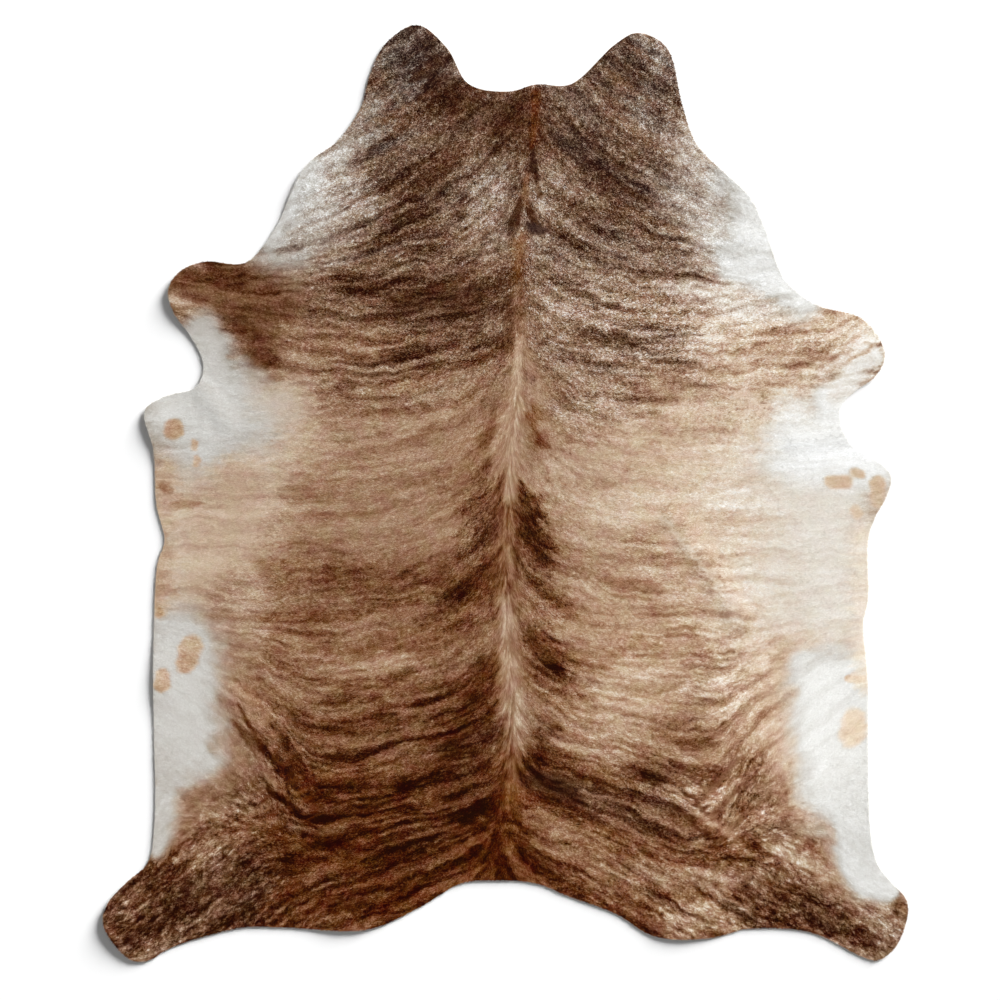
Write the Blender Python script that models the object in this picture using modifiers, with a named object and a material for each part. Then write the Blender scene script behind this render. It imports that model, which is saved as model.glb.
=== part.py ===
"""Cowhide rug: one whole hide, tanned with its coat on, cut round its edge and laid flat, hair side up.

The hide is one sheet. Its edge is a smooth closed curve through the landmarks that a hide is
known by: neck flaps, forelegs, belly, hind legs and tail root. Ribs run from the backbone out
to that edge, the way the hair grows, and the sheet is spanned between them. Here and there the
sheet doesn't lie down fully: the tips of the legs and the soft belly edge curl up a little, and
a few old creases stand proud. The thickness is the leather and the coat that lies on it.

Axes: +X to the hide's right, +Y towards the neck, +Z up. The origin is under the middle.
"""

import bmesh
import bpy
import numpy as np

# Driving dimensions, in metres
HIDE_WIDTH = 1.830
HIDE_LENGTH = 2.130
LEATHER_THICKNESS = 0.002
COAT_THICKNESS = 0.0025

# How finely the sheet is divided
RIBS_PER_SIDE = 150
STEPS_PER_RIB = 12
POINTS_PER_STRETCH = 24
STATIONS_TRIED = 4000
RIM_CLOSENESS = 1.5  # over 1 puts the steps closer together near the edge
WELD_DISTANCE = 0.00001

# A rib leaves the backbone sideways and then bends to its landmark: these are its middle
# handle's shares of the way there, across the hide and along it. The share along it is the first
# value at the backbone and the second at the hide's full half width, as at the leg tips.
HANDLE_ACROSS = 0.70
HANDLE_ALONG = (0.15, 0.40)

# The edge, clockwise from the middle of the neck. Each row is x, y and the y on the backbone
# where the landmark's rib starts.
OUTLINE = (
    ("neckline", (
        (0.067, 0.930, 0.850),
        (0.147, 0.930, 0.816),
    )),
    ("right neck flap", (
        (0.249, 1.021, 0.753),
        (0.299, 1.046, 0.718),
        (0.365, 1.014, 0.687),
        (0.400, 0.887, 0.641),
    )),
    ("right neck side", (
        (0.427, 0.805, 0.616),
        (0.459, 0.764, 0.602),
        (0.552, 0.677, 0.570),
        (0.582, 0.618, 0.550),
        (0.634, 0.486, 0.504),
    )),
    ("right foreleg", (
        (0.705, 0.429, 0.470),
        (0.809, 0.397, 0.436),
        (0.860, 0.318, 0.372),
        (0.841, 0.268, 0.336),
        (0.791, 0.231, 0.304),
    )),
    ("right armpit", (
        (0.759, 0.190, 0.270),
        (0.780, 0.115, 0.213),
    )),
    ("right belly", (
        (0.832, 0.081, 0.181),
        (0.873, 0.042, 0.145),
        (0.866, -0.001, 0.099),
        (0.837, -0.058, 0.035),
        (0.823, -0.106, -0.022),
        (0.823, -0.240, -0.151),
        (0.812, -0.297, -0.208),
        (0.821, -0.413, -0.315),
        (0.839, -0.828, -0.561),
    )),
    ("right hind leg", (
        (0.873, -0.880, -0.584),
        (0.905, -0.914, -0.600),
        (0.914, -0.944, -0.614),
        (0.885, -1.030, -0.641),
        (0.844, -1.060, -0.655),
        (0.809, -1.051, -0.668),
        (0.693, -0.996, -0.698),
        (0.543, -0.989, -0.728),
    )),
    ("right rump", (
        (0.472, -1.008, -0.741),
        (0.338, -1.005, -0.759),
        (0.252, -0.955, -0.773),
        (0.142, -0.914, -0.789),
        (0.069, -0.885, -0.800),
    )),
    ("tail root", (
        (-0.017, -0.878, -0.812),
    )),
    ("left rump", (
        (-0.101, -0.885, -0.798),
        (-0.195, -0.939, -0.782),
        (-0.313, -0.989, -0.759),
        (-0.504, -0.985, -0.730),
    )),
    ("left hind leg", (
        (-0.598, -0.985, -0.716),
        (-0.766, -1.033, -0.684),
        (-0.812, -1.060, -0.671),
        (-0.853, -1.058, -0.659),
        (-0.914, -0.978, -0.630),
        (-0.905, -0.932, -0.614),
        (-0.864, -0.885, -0.591),
        (-0.814, -0.839, -0.566),
    )),
    ("left belly", (
        (-0.798, -0.741, -0.511),
        (-0.800, -0.507, -0.368),
        (-0.800, -0.327, -0.231),
        (-0.791, -0.158, -0.088),
        (-0.775, -0.106, -0.035),
        (-0.794, -0.024, 0.040),
        (-0.800, 0.099, 0.135),
        (-0.819, 0.190, 0.190),
        (-0.771, 0.222, 0.213),
    )),
    ("left armpit", (
        (-0.705, 0.240, 0.238),
        (-0.687, 0.293, 0.283),
    )),
    ("left foreleg", (
        (-0.718, 0.361, 0.334),
        (-0.755, 0.413, 0.372),
        (-0.766, 0.466, 0.404),
        (-0.737, 0.507, 0.431),
        (-0.684, 0.527, 0.452),
        (-0.591, 0.525, 0.484),
    )),
    ("left neck side", (
        (-0.523, 0.605, 0.527),
        (-0.491, 0.675, 0.554),
        (-0.463, 0.732, 0.575),
        (-0.436, 0.762, 0.589),
        (-0.386, 0.798, 0.605),
        (-0.329, 0.878, 0.636),
    )),
    ("left neck flap", (
        (-0.309, 0.951, 0.661),
        (-0.274, 1.021, 0.687),
        (-0.202, 1.064, 0.714),
        (-0.135, 1.014, 0.748),
    )),
    ("neckline", (
        (-0.083, 0.930, 0.805),
        (0.010, 0.914, 0.839),
    )),
)

# The backbone from neck to tail root, x and y
BACKBONE = (
    (0.065, 0.850),
    (0.056, 0.748),
    (0.035, 0.657),
    (0.033, 0.327),
    (0.026, 0.213),
    (0.010, 0.065),
    (0.003, -0.265),
    (0.013, -0.470),
    (0.013, -0.630),
    (-0.008, -0.812),
)

# Places where the sheet curls off the floor: x, y, how far the curl reaches and its height
CURLS = (
    ("left neck flap", -0.220, 1.060, 0.130, 0.006),
    ("right neck flap", 0.320, 1.045, 0.120, 0.005),
    ("right neck side", 0.600, 0.560, 0.120, 0.004),
    ("right foreleg", 0.870, 0.330, 0.150, 0.007),
    ("right belly, upper", 0.880, 0.020, 0.130, 0.006),
    ("right belly, lower", 0.830, -0.420, 0.110, 0.004),
    ("right hind leg", 0.920, -0.970, 0.160, 0.007),
    ("right rump", 0.400, -1.020, 0.120, 0.004),
    ("left rump", -0.360, -1.000, 0.120, 0.004),
    ("left hind leg", -0.920, -1.000, 0.170, 0.008),
    ("left belly, lower", -0.810, -0.420, 0.120, 0.004),
    ("left belly, upper", -0.825, 0.150, 0.120, 0.006),
    ("left foreleg", -0.775, 0.450, 0.150, 0.007),
    ("left neck side", -0.480, 0.710, 0.110, 0.004),
)

# Old creases that stand proud: both ends, half the crease's width and its height
CREASES = (
    ("right neck", 0.600, 0.600, 0.470, 0.565, 0.045, 0.003),
    ("right armpit", 0.770, 0.135, 0.660, 0.120, 0.045, 0.003),
    ("right flank", 0.380, -0.060, 0.530, -0.285, 0.055, 0.004),
    ("left flank", -0.615, -0.475, -0.485, -0.725, 0.060, 0.005),
    ("left armpit", -0.700, 0.245, -0.640, 0.165, 0.045, 0.003),
)


def smooth_through(points, closed):
    """A curve through the points, POINTS_PER_STRETCH to a stretch.

    Between two neighbours it is the cubic that leaves and arrives at the speeds there, in a time
    that is the square root of their distance, which keeps the curve from looping where landmarks
    crowd together. A point's speed is the mean of those on its two sides, each weighted by the
    other side's time.
    """
    points = np.array(points, dtype=float)
    if closed:
        before, after = np.roll(points, 1, axis=0), np.roll(points, -1, axis=0)
    else:
        before = np.vstack([2 * points[0] - points[1], points[:-1]])
        after = np.vstack([points[1:], 2 * points[-1] - points[-2]])
    time_before = np.sqrt(np.linalg.norm(points - before, axis=1))[:, None]
    time_after = np.sqrt(np.linalg.norm(after - points, axis=1))[:, None]
    speed = ((points - before) * time_after / time_before
             + (after - points) * time_before / time_after) / (time_before + time_after)
    starts = np.arange(len(points) if closed else len(points) - 1)
    ends = (starts + 1) % len(points)
    t = np.linspace(0, 1, POINTS_PER_STRETCH, endpoint=False)[None, :, None]
    time = time_after[starts][:, None]
    curve = ((2 * t**3 - 3 * t**2 + 1) * points[starts][:, None]
             + (t**3 - 2 * t**2 + t) * speed[starts][:, None] * time
             + (3 * t**2 - 2 * t**3) * points[ends][:, None]
             + (t**3 - t**2) * speed[ends][:, None] * time).reshape(-1, points.shape[1])
    return curve if closed else np.vstack([curve, points[-1]])


def outline_sides():
    """The edge in two sides, right and left, each from the neck to the tail root.

    A side's rows are x, y, how far down the backbone its rib starts, and the way along the edge.
    """
    landmarks = [row for _, stretch in OUTLINE for row in stretch]
    curve = smooth_through(landmarks, closed=True)
    curve = np.roll(curve, -np.argmax(curve[:, 2]), axis=0)
    tail = np.argmin(curve[:, 2])
    sides = []
    for side in (curve[:tail + 1], np.vstack([curve[tail:], curve[:1]])[::-1]):
        down = np.maximum.accumulate(-side[:, 2])
        steps = np.linalg.norm(np.diff(side[:, :2], axis=0), axis=1)
        way = np.concatenate([[0], np.cumsum(steps)])
        sides.append(np.column_stack([side[:, :2], down, way]))
    return sides


def rib_points():
    """The plan of the sheet: an array of ribs, by steps from the backbone out, by x and y.

    The ribs go once round the hide, and two that face each other share their start. Starts are as
    far apart on the backbone as keeps the two edges evenly divided. Each rib is a quadratic curve
    from the backbone, by a handle, to the edge. The whole plan is then centred, and stretched the
    last little way to the hide's width and length.
    """
    sides = outline_sides()
    down = np.linspace(sides[0][0, 2], sides[0][-1, 2], STATIONS_TRIED)
    way = sum(np.interp(down, side[:, 2], side[:, 3]) for side in sides)
    stations = np.interp(np.linspace(0, way[-1], RIBS_PER_SIDE + 1), way, down)
    right, left = (np.column_stack([np.interp(stations, side[:, 2], side[:, i]) for i in (0, 1)])
                   for side in sides)
    backbone = smooth_through(BACKBONE, closed=False)
    start = np.column_stack([np.interp(stations, -backbone[:, 1], backbone[:, 0]), -stations])
    start = np.vstack([start, start[-2:0:-1]])[:, None]
    end = np.vstack([right, left[-2:0:-1]])[:, None]
    across = np.abs(end[..., 0] - start[..., 0]) / (HIDE_WIDTH / 2)
    along = HANDLE_ALONG[0] + (HANDLE_ALONG[1] - HANDLE_ALONG[0]) * across**2
    shares = np.stack([np.full_like(along, HANDLE_ACROSS), along], axis=2)
    handle = start + (end - start) * shares
    t = 1 - (1 - np.linspace(0, 1, STEPS_PER_RIB + 1)) ** RIM_CLOSENESS
    t = t[None, :, None]
    plan = (1 - t) ** 2 * start + 2 * t * (1 - t) * handle + t**2 * end
    low, high = plan.min(axis=(0, 1)), plan.max(axis=(0, 1))
    return (plan - (low + high) / 2) * np.array([HIDE_WIDTH, HIDE_LENGTH]) / (high - low)


def mound(distance, reach):
    """A soft bump of height 1 that is exactly 0 from reach outwards: (1 - (d / r)^2) cubed."""
    return np.clip(1 - (distance / reach) ** 2, 0, None) ** 3


def lift_off_floor(x, y):
    """How high the sheet's underside stands over the floor: the highest curl or crease there."""
    lift = np.zeros_like(x)
    for _, curl_x, curl_y, reach, height in CURLS:
        lift = np.maximum(lift, height * mound(np.hypot(x - curl_x, y - curl_y), reach))
    for _, x0, y0, x1, y1, half_width, height in CREASES:
        length = np.hypot(x1 - x0, y1 - y0)
        along = ((x - x0) * (x1 - x0) + (y - y0) * (y1 - y0)) / length
        beyond = along - np.clip(along, 0, length)
        across = ((x - x0) * (y1 - y0) - (y - y0) * (x1 - x0)) / length
        lift = np.maximum(lift, height * mound(np.hypot(across, beyond), half_width))
    return lift


def hide_sheet():
    """The hide's underside as an open mesh: quads from rib to rib, welded along the backbone."""
    plan = rib_points()
    x, y = plan[..., 0], plan[..., 1]
    points = np.stack([x, y, lift_off_floor(x, y)], axis=2).reshape(-1, 3)
    ribs, steps = plan.shape[:2]
    rib, step = np.meshgrid(np.arange(ribs), np.arange(steps - 1), indexing="ij")
    next_rib = (rib + 1) % ribs
    corners = (rib * steps + step, next_rib * steps + step,
               next_rib * steps + step + 1, rib * steps + step + 1)
    faces = np.stack(corners, axis=2).reshape(-1, 4)
    mesh = bpy.data.meshes.new("cowhide")
    mesh.from_pydata(points.tolist(), [], faces.tolist())
    sheet = bmesh.new()
    sheet.from_mesh(mesh)
    bmesh.ops.remove_doubles(sheet, verts=sheet.verts, dist=WELD_DISTANCE)
    sheet.to_mesh(mesh)
    sheet.free()
    return mesh


def hide_material():
    """Brindle hair, as the one colour that stands for it from afar."""
    material = bpy.data.materials.new("brindle coat")
    material.use_nodes = True
    shader = material.node_tree.nodes["Principled BSDF"]
    shader.inputs["Base Color"].default_value = (0.30, 0.19, 0.12, 1.0)
    shader.inputs["Roughness"].default_value = 0.7
    shader.inputs["Metallic"].default_value = 0.0
    return material


def build_cowhide(collection):
    """The hide: the open underside, given its thickness upwards by Solidify."""
    hide = bpy.data.objects.new("cowhide", hide_sheet())
    collection.objects.link(hide)
    hide.data.materials.append(hide_material())
    thickness = hide.modifiers.new("leather and coat", "SOLIDIFY")
    thickness.thickness = LEATHER_THICKNESS + COAT_THICKNESS
    thickness.offset = 1.0
    hide.data.shade_smooth()
    return hide


for old in list(bpy.data.objects):
    bpy.data.objects.remove(old)
rug = bpy.data.collections.new("Cowhide rug")
bpy.context.scene.collection.children.link(rug)
build_cowhide(rug)
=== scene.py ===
# %% [markdown]
# # A cowhide rug, laid flat
#
# The rug is one whole cattle hide, tanned with its coat on and cut round its edge. There is no
# sewing, no lining and no frame: everything that shows is leather and hair. So the lesson has
# three jobs: to find the sheet's shape again, to work out how a brindle coat is coloured and which
# way it grows, and then to lay that coat down as real hair, many small blades at a time.
#
# The imported model is loaded first. Its solid is the size that everything here has to keep.

import bpy
import numpy as np
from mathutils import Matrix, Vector


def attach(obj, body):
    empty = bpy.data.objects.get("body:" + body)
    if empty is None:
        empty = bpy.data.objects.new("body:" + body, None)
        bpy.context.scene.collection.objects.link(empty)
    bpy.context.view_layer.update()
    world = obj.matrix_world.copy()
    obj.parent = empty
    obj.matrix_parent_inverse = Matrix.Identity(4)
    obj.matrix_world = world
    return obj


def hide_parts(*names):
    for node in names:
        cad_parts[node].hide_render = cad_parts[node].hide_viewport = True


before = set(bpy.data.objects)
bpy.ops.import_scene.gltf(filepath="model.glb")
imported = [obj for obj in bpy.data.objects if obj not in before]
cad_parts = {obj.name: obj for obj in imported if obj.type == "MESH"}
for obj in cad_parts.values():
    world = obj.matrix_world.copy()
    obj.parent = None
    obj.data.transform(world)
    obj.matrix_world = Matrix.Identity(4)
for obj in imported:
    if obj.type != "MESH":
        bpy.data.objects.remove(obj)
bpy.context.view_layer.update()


# %% [markdown]
# ## The camera
#
# The photo was taken from straight above, so the camera looks down and needs no turning: a camera
# that isn't turned looks along -Z with +Y up. A long lens from far off keeps the perspective
# small. The lens and the sensor fix the distance at which one pixel of the photo is the length
# on the floor that the hide's real size gives it.

# %% the camera
PHOTO_PIXELS = 1000
METRES_PER_PIXEL = 0.002277
PHOTO_CENTRE = (-0.0125, -0.0148)  # where the middle of the photo falls on the floor
LENS = 85.0                        # in millimetres, as is the sensor
SENSOR = 36.0

camera = bpy.data.objects.new("camera", bpy.data.cameras.new("camera"))
camera.data.lens = LENS
camera.data.sensor_width = SENSOR
camera.location = (*PHOTO_CENTRE, PHOTO_PIXELS * METRES_PER_PIXEL * LENS / SENSOR)
bpy.context.scene.collection.objects.link(camera)
bpy.context.scene.camera = camera
print(f"camera {camera.location.z:.2f} m above the floor")

# %% [markdown]
# ## Floor and light
#
# The floor is a plain white sheet, so that the rug's edge and its soft shadow read clearly. A
# broad key light from the upper right gives the rug most of its light and models the hair, and
# white surroundings fill in the rest. They are dim overhead, and bright level with the floor,
# because a view from the side looks at them.
#
# The sheet is only a few millimetres thick, and the long soft shadow at its lower left needs a
# lamp close to the floor, which would rake over every hair tip as well. A studio would flag that
# lamp off the rug with a board. Light linking does the same here: the low lamp lights the floor
# alone, and the key light everything but the floor. Standard is the view transform that leaves
# colours as they are made.

# %% floor and light
FLOOR_SIDE = 200.0
FLOOR_COLOUR = (0.93, 0.93, 0.93, 1.0)
FLOOR_ROUGHNESS = 0.9
FLOOR_DEPTH = 0.0002               # just under the rug's own level
SURROUND = 0.18                    # how bright the surroundings are overhead
HORIZON = 1.0                      # and level with the floor, where side views see them
HORIZON_FADES = (0.15, 0.30)       # between these heights, as sines
LAMPS = (
    # name; degrees round from +X, up and broad; the light a floor under it takes, where 1 looks
    # white; and whether everything but the floor is lit, or the floor alone
    ("key light", 50.0, 48.0, 20.0, 1.06, "EXCLUDE"),
    ("shadow light", 46.0, 12.0, 30.0, 0.91, "INCLUDE"),
)


def add_floor():
    """One square, a hair's breadth below the rug."""
    half = FLOOR_SIDE / 2
    corners = [(-half, -half), (half, -half), (half, half), (-half, half)]
    mesh = bpy.data.meshes.new("floor")
    mesh.from_pydata([(x, y, -FLOOR_DEPTH) for x, y in corners], [], [(0, 1, 2, 3)])
    material = bpy.data.materials.new("plain floor")
    material.use_nodes = True
    shader = material.node_tree.nodes["Principled BSDF"]
    shader.inputs["Base Color"].default_value = FLOOR_COLOUR
    shader.inputs["Roughness"].default_value = FLOOR_ROUGHNESS
    mesh.materials.append(material)
    floor = bpy.data.objects.new("floor", mesh)
    bpy.context.scene.collection.objects.link(floor)
    return floor


def add_lamp(name, round_from_x, up, breadth, floor_light, link_state):
    """A far lamp that lights the floor, or everything but the floor.

    It shines along the line from its place on a sphere to the origin. A flat white surface that
    takes pi watts a square metre looks white, and level ground takes the lamp's strength times the
    sine of its height, so the strength is pi times the light wanted over that sine.
    """
    lamp = bpy.data.lights.new(name, "SUN")
    lamp.angle = np.radians(breadth)
    lamp.energy = np.pi * floor_light / np.sin(np.radians(up))
    shining = bpy.data.objects.new(name, lamp)
    turn, height = np.radians(round_from_x), np.radians(up)
    place = Vector((np.cos(height) * np.cos(turn), np.cos(height) * np.sin(turn), np.sin(height)))
    shining.rotation_euler = (-place).to_track_quat("-Z", "Y").to_euler()
    bpy.context.scene.collection.objects.link(shining)
    linked = bpy.data.collections.new(name + " and the floor")
    linked.objects.link(floor)
    linked.collection_objects[0].light_linking.link_state = link_state
    shining.light_linking.receiver_collection = linked


def add_surround():
    """A white world, bright behind the floor's edge and dimmer overhead."""
    world = bpy.data.worlds.new("studio")
    world.use_nodes = True
    nodes, links = world.node_tree.nodes, world.node_tree.links
    background = nodes["Background"]
    background.inputs["Color"].default_value = (1.0, 1.0, 1.0, 1.0)
    direction = nodes.new("ShaderNodeTexCoord")
    parts = nodes.new("ShaderNodeSeparateXYZ")
    strength = nodes.new("ShaderNodeMapRange")
    for name, value in zip(("From Min", "From Max", "To Min", "To Max"),
                           (*HORIZON_FADES, HORIZON, SURROUND)):
        strength.inputs[name].default_value = value
    links.new(direction.outputs["Generated"], parts.inputs["Vector"])
    links.new(parts.outputs["Z"], strength.inputs["Value"])
    links.new(strength.outputs["Result"], background.inputs["Strength"])
    bpy.context.scene.world = world


floor = add_floor()
for lamp_settings in LAMPS:
    add_lamp(*lamp_settings)
add_surround()
bpy.context.scene.view_settings.view_transform = "Standard"
print("lamps:", ", ".join(name for name, *_ in LAMPS))

# %% [markdown]
# ## The shape of the hide
#
# A flat hide is a map of the animal: the neck is at the top, the forelegs stick out below it, the
# belly runs down both sides and the hind legs end it, with the tail's root between them. Its edge
# is drawn as one smooth closed curve through those landmarks. The sheet could be filled in with a
# square grid, cut off at the edge, but then the grid's steps would show there. Instead ribs run
# from the backbone to the edge, as they do in the animal, and the sheet is spanned between them.
# The same ribs tell the hair where it is later on.
#
# The solid was made from these very landmarks. They are repeated here, because this script reads
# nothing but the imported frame, and the ribs are only set closer together.

# %% the landmarks of the hide
HIDE_WIDTH = 1.830
HIDE_LENGTH = 2.130
LEATHER_THICKNESS = 0.002

RIBS_PER_SIDE = 340
STEPS_PER_RIB = 30
POINTS_PER_STRETCH = 24
STATIONS_TRIED = 4000
RIM_CLOSENESS = 1.5  # over 1 puts the steps closer together near the edge

# A rib's middle handle, as shares of the way across the hide and along it. The share along it is
# the first value at the backbone and the second at the hide's full half width.
HANDLE_ACROSS = 0.70
HANDLE_ALONG = (0.15, 0.40)

# The edge, clockwise from the middle of the neck. Each row is x, y and the y on the backbone
# where the landmark's rib starts.
OUTLINE = (
    ("neckline", (
        (0.067, 0.930, 0.850),
        (0.147, 0.930, 0.816),
    )),
    ("right neck flap", (
        (0.249, 1.021, 0.753),
        (0.299, 1.046, 0.718),
        (0.365, 1.014, 0.687),
        (0.400, 0.887, 0.641),
    )),
    ("right neck side", (
        (0.427, 0.805, 0.616),
        (0.459, 0.764, 0.602),
        (0.552, 0.677, 0.570),
        (0.582, 0.618, 0.550),
        (0.634, 0.486, 0.504),
    )),
    ("right foreleg", (
        (0.705, 0.429, 0.470),
        (0.809, 0.397, 0.436),
        (0.860, 0.318, 0.372),
        (0.841, 0.268, 0.336),
        (0.791, 0.231, 0.304),
    )),
    ("right armpit", (
        (0.759, 0.190, 0.270),
        (0.780, 0.115, 0.213),
    )),
    ("right belly", (
        (0.832, 0.081, 0.181),
        (0.873, 0.042, 0.145),
        (0.866, -0.001, 0.099),
        (0.837, -0.058, 0.035),
        (0.823, -0.106, -0.022),
        (0.823, -0.240, -0.151),
        (0.812, -0.297, -0.208),
        (0.821, -0.413, -0.315),
        (0.839, -0.828, -0.561),
    )),
    ("right hind leg", (
        (0.873, -0.880, -0.584),
        (0.905, -0.914, -0.600),
        (0.914, -0.944, -0.614),
        (0.885, -1.030, -0.641),
        (0.844, -1.060, -0.655),
        (0.809, -1.051, -0.668),
        (0.693, -0.996, -0.698),
        (0.543, -0.989, -0.728),
    )),
    ("right rump", (
        (0.472, -1.008, -0.741),
        (0.338, -1.005, -0.759),
        (0.252, -0.955, -0.773),
        (0.142, -0.914, -0.789),
        (0.069, -0.885, -0.800),
    )),
    ("tail root", (
        (-0.017, -0.878, -0.812),
    )),
    ("left rump", (
        (-0.101, -0.885, -0.798),
        (-0.195, -0.939, -0.782),
        (-0.313, -0.989, -0.759),
        (-0.504, -0.985, -0.730),
    )),
    ("left hind leg", (
        (-0.598, -0.985, -0.716),
        (-0.766, -1.033, -0.684),
        (-0.812, -1.060, -0.671),
        (-0.853, -1.058, -0.659),
        (-0.914, -0.978, -0.630),
        (-0.905, -0.932, -0.614),
        (-0.864, -0.885, -0.591),
        (-0.814, -0.839, -0.566),
    )),
    ("left belly", (
        (-0.798, -0.741, -0.511),
        (-0.800, -0.507, -0.368),
        (-0.800, -0.327, -0.231),
        (-0.791, -0.158, -0.088),
        (-0.775, -0.106, -0.035),
        (-0.794, -0.024, 0.040),
        (-0.800, 0.099, 0.135),
        (-0.819, 0.190, 0.190),
        (-0.771, 0.222, 0.213),
    )),
    ("left armpit", (
        (-0.705, 0.240, 0.238),
        (-0.687, 0.293, 0.283),
    )),
    ("left foreleg", (
        (-0.718, 0.361, 0.334),
        (-0.755, 0.413, 0.372),
        (-0.766, 0.466, 0.404),
        (-0.737, 0.507, 0.431),
        (-0.684, 0.527, 0.452),
        (-0.591, 0.525, 0.484),
    )),
    ("left neck side", (
        (-0.523, 0.605, 0.527),
        (-0.491, 0.675, 0.554),
        (-0.463, 0.732, 0.575),
        (-0.436, 0.762, 0.589),
        (-0.386, 0.798, 0.605),
        (-0.329, 0.878, 0.636),
    )),
    ("left neck flap", (
        (-0.309, 0.951, 0.661),
        (-0.274, 1.021, 0.687),
        (-0.202, 1.064, 0.714),
        (-0.135, 1.014, 0.748),
    )),
    ("neckline", (
        (-0.083, 0.930, 0.805),
        (0.010, 0.914, 0.839),
    )),
)

# The backbone from neck to tail root, x and y
BACKBONE = (
    (0.065, 0.850),
    (0.056, 0.748),
    (0.035, 0.657),
    (0.033, 0.327),
    (0.026, 0.213),
    (0.010, 0.065),
    (0.003, -0.265),
    (0.013, -0.470),
    (0.013, -0.630),
    (-0.008, -0.812),
)

# Places where the sheet curls off the floor: x, y, how far the curl reaches and its height
CURLS = (
    ("left neck flap", -0.220, 1.060, 0.130, 0.006),
    ("right neck flap", 0.320, 1.045, 0.120, 0.005),
    ("right neck side", 0.600, 0.560, 0.120, 0.004),
    ("right foreleg", 0.870, 0.330, 0.150, 0.007),
    ("right belly, upper", 0.880, 0.020, 0.130, 0.006),
    ("right belly, lower", 0.830, -0.420, 0.110, 0.004),
    ("right hind leg", 0.920, -0.970, 0.160, 0.007),
    ("right rump", 0.400, -1.020, 0.120, 0.004),
    ("left rump", -0.360, -1.000, 0.120, 0.004),
    ("left hind leg", -0.920, -1.000, 0.170, 0.008),
    ("left belly, lower", -0.810, -0.420, 0.120, 0.004),
    ("left belly, upper", -0.825, 0.150, 0.120, 0.006),
    ("left foreleg", -0.775, 0.450, 0.150, 0.007),
    ("left neck side", -0.480, 0.710, 0.110, 0.004),
)

# Old creases that stand proud: both ends, half the crease's width and its height
CREASES = (
    ("right neck", 0.600, 0.600, 0.470, 0.565, 0.045, 0.003),
    ("right armpit", 0.770, 0.135, 0.660, 0.120, 0.045, 0.003),
    ("right flank", 0.380, -0.060, 0.530, -0.285, 0.055, 0.004),
    ("left flank", -0.615, -0.475, -0.485, -0.725, 0.060, 0.005),
    ("left armpit", -0.700, 0.245, -0.640, 0.165, 0.045, 0.003),
)


# %% the ribs of the hide
def smooth_through(points, closed):
    """A curve through the points, POINTS_PER_STRETCH to a stretch.

    Between two neighbours it is the cubic that leaves and arrives at the speeds there, in a time
    that is the square root of their distance, which keeps the curve from looping where landmarks
    crowd together. A point's speed is the mean of those on its two sides, each weighted by the
    other side's time.
    """
    points = np.array(points, dtype=float)
    if closed:
        before, after = np.roll(points, 1, axis=0), np.roll(points, -1, axis=0)
    else:
        before = np.vstack([2 * points[0] - points[1], points[:-1]])
        after = np.vstack([points[1:], 2 * points[-1] - points[-2]])
    time_before = np.sqrt(np.linalg.norm(points - before, axis=1))[:, None]
    time_after = np.sqrt(np.linalg.norm(after - points, axis=1))[:, None]
    speed = ((points - before) * time_after / time_before
             + (after - points) * time_before / time_after) / (time_before + time_after)
    starts = np.arange(len(points) if closed else len(points) - 1)
    ends = (starts + 1) % len(points)
    t = np.linspace(0, 1, POINTS_PER_STRETCH, endpoint=False)[None, :, None]
    time = time_after[starts][:, None]
    curve = ((2 * t**3 - 3 * t**2 + 1) * points[starts][:, None]
             + (t**3 - 2 * t**2 + t) * speed[starts][:, None] * time
             + (3 * t**2 - 2 * t**3) * points[ends][:, None]
             + (t**3 - t**2) * speed[ends][:, None] * time).reshape(-1, points.shape[1])
    return curve if closed else np.vstack([curve, points[-1]])


def outline_sides():
    """The edge in two sides, right and left, each from the neck to the tail root.

    A side's rows are x, y, how far down the backbone its rib starts, and the way along the edge.
    """
    landmarks = [row for _, stretch in OUTLINE for row in stretch]
    curve = smooth_through(landmarks, closed=True)
    curve = np.roll(curve, -np.argmax(curve[:, 2]), axis=0)
    tail = np.argmin(curve[:, 2])
    sides = []
    for side in (curve[:tail + 1], np.vstack([curve[tail:], curve[:1]])[::-1]):
        down = np.maximum.accumulate(-side[:, 2])
        steps = np.linalg.norm(np.diff(side[:, :2], axis=0), axis=1)
        way = np.concatenate([[0], np.cumsum(steps)])
        sides.append(np.column_stack([side[:, :2], down, way]))
    return sides


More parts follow.
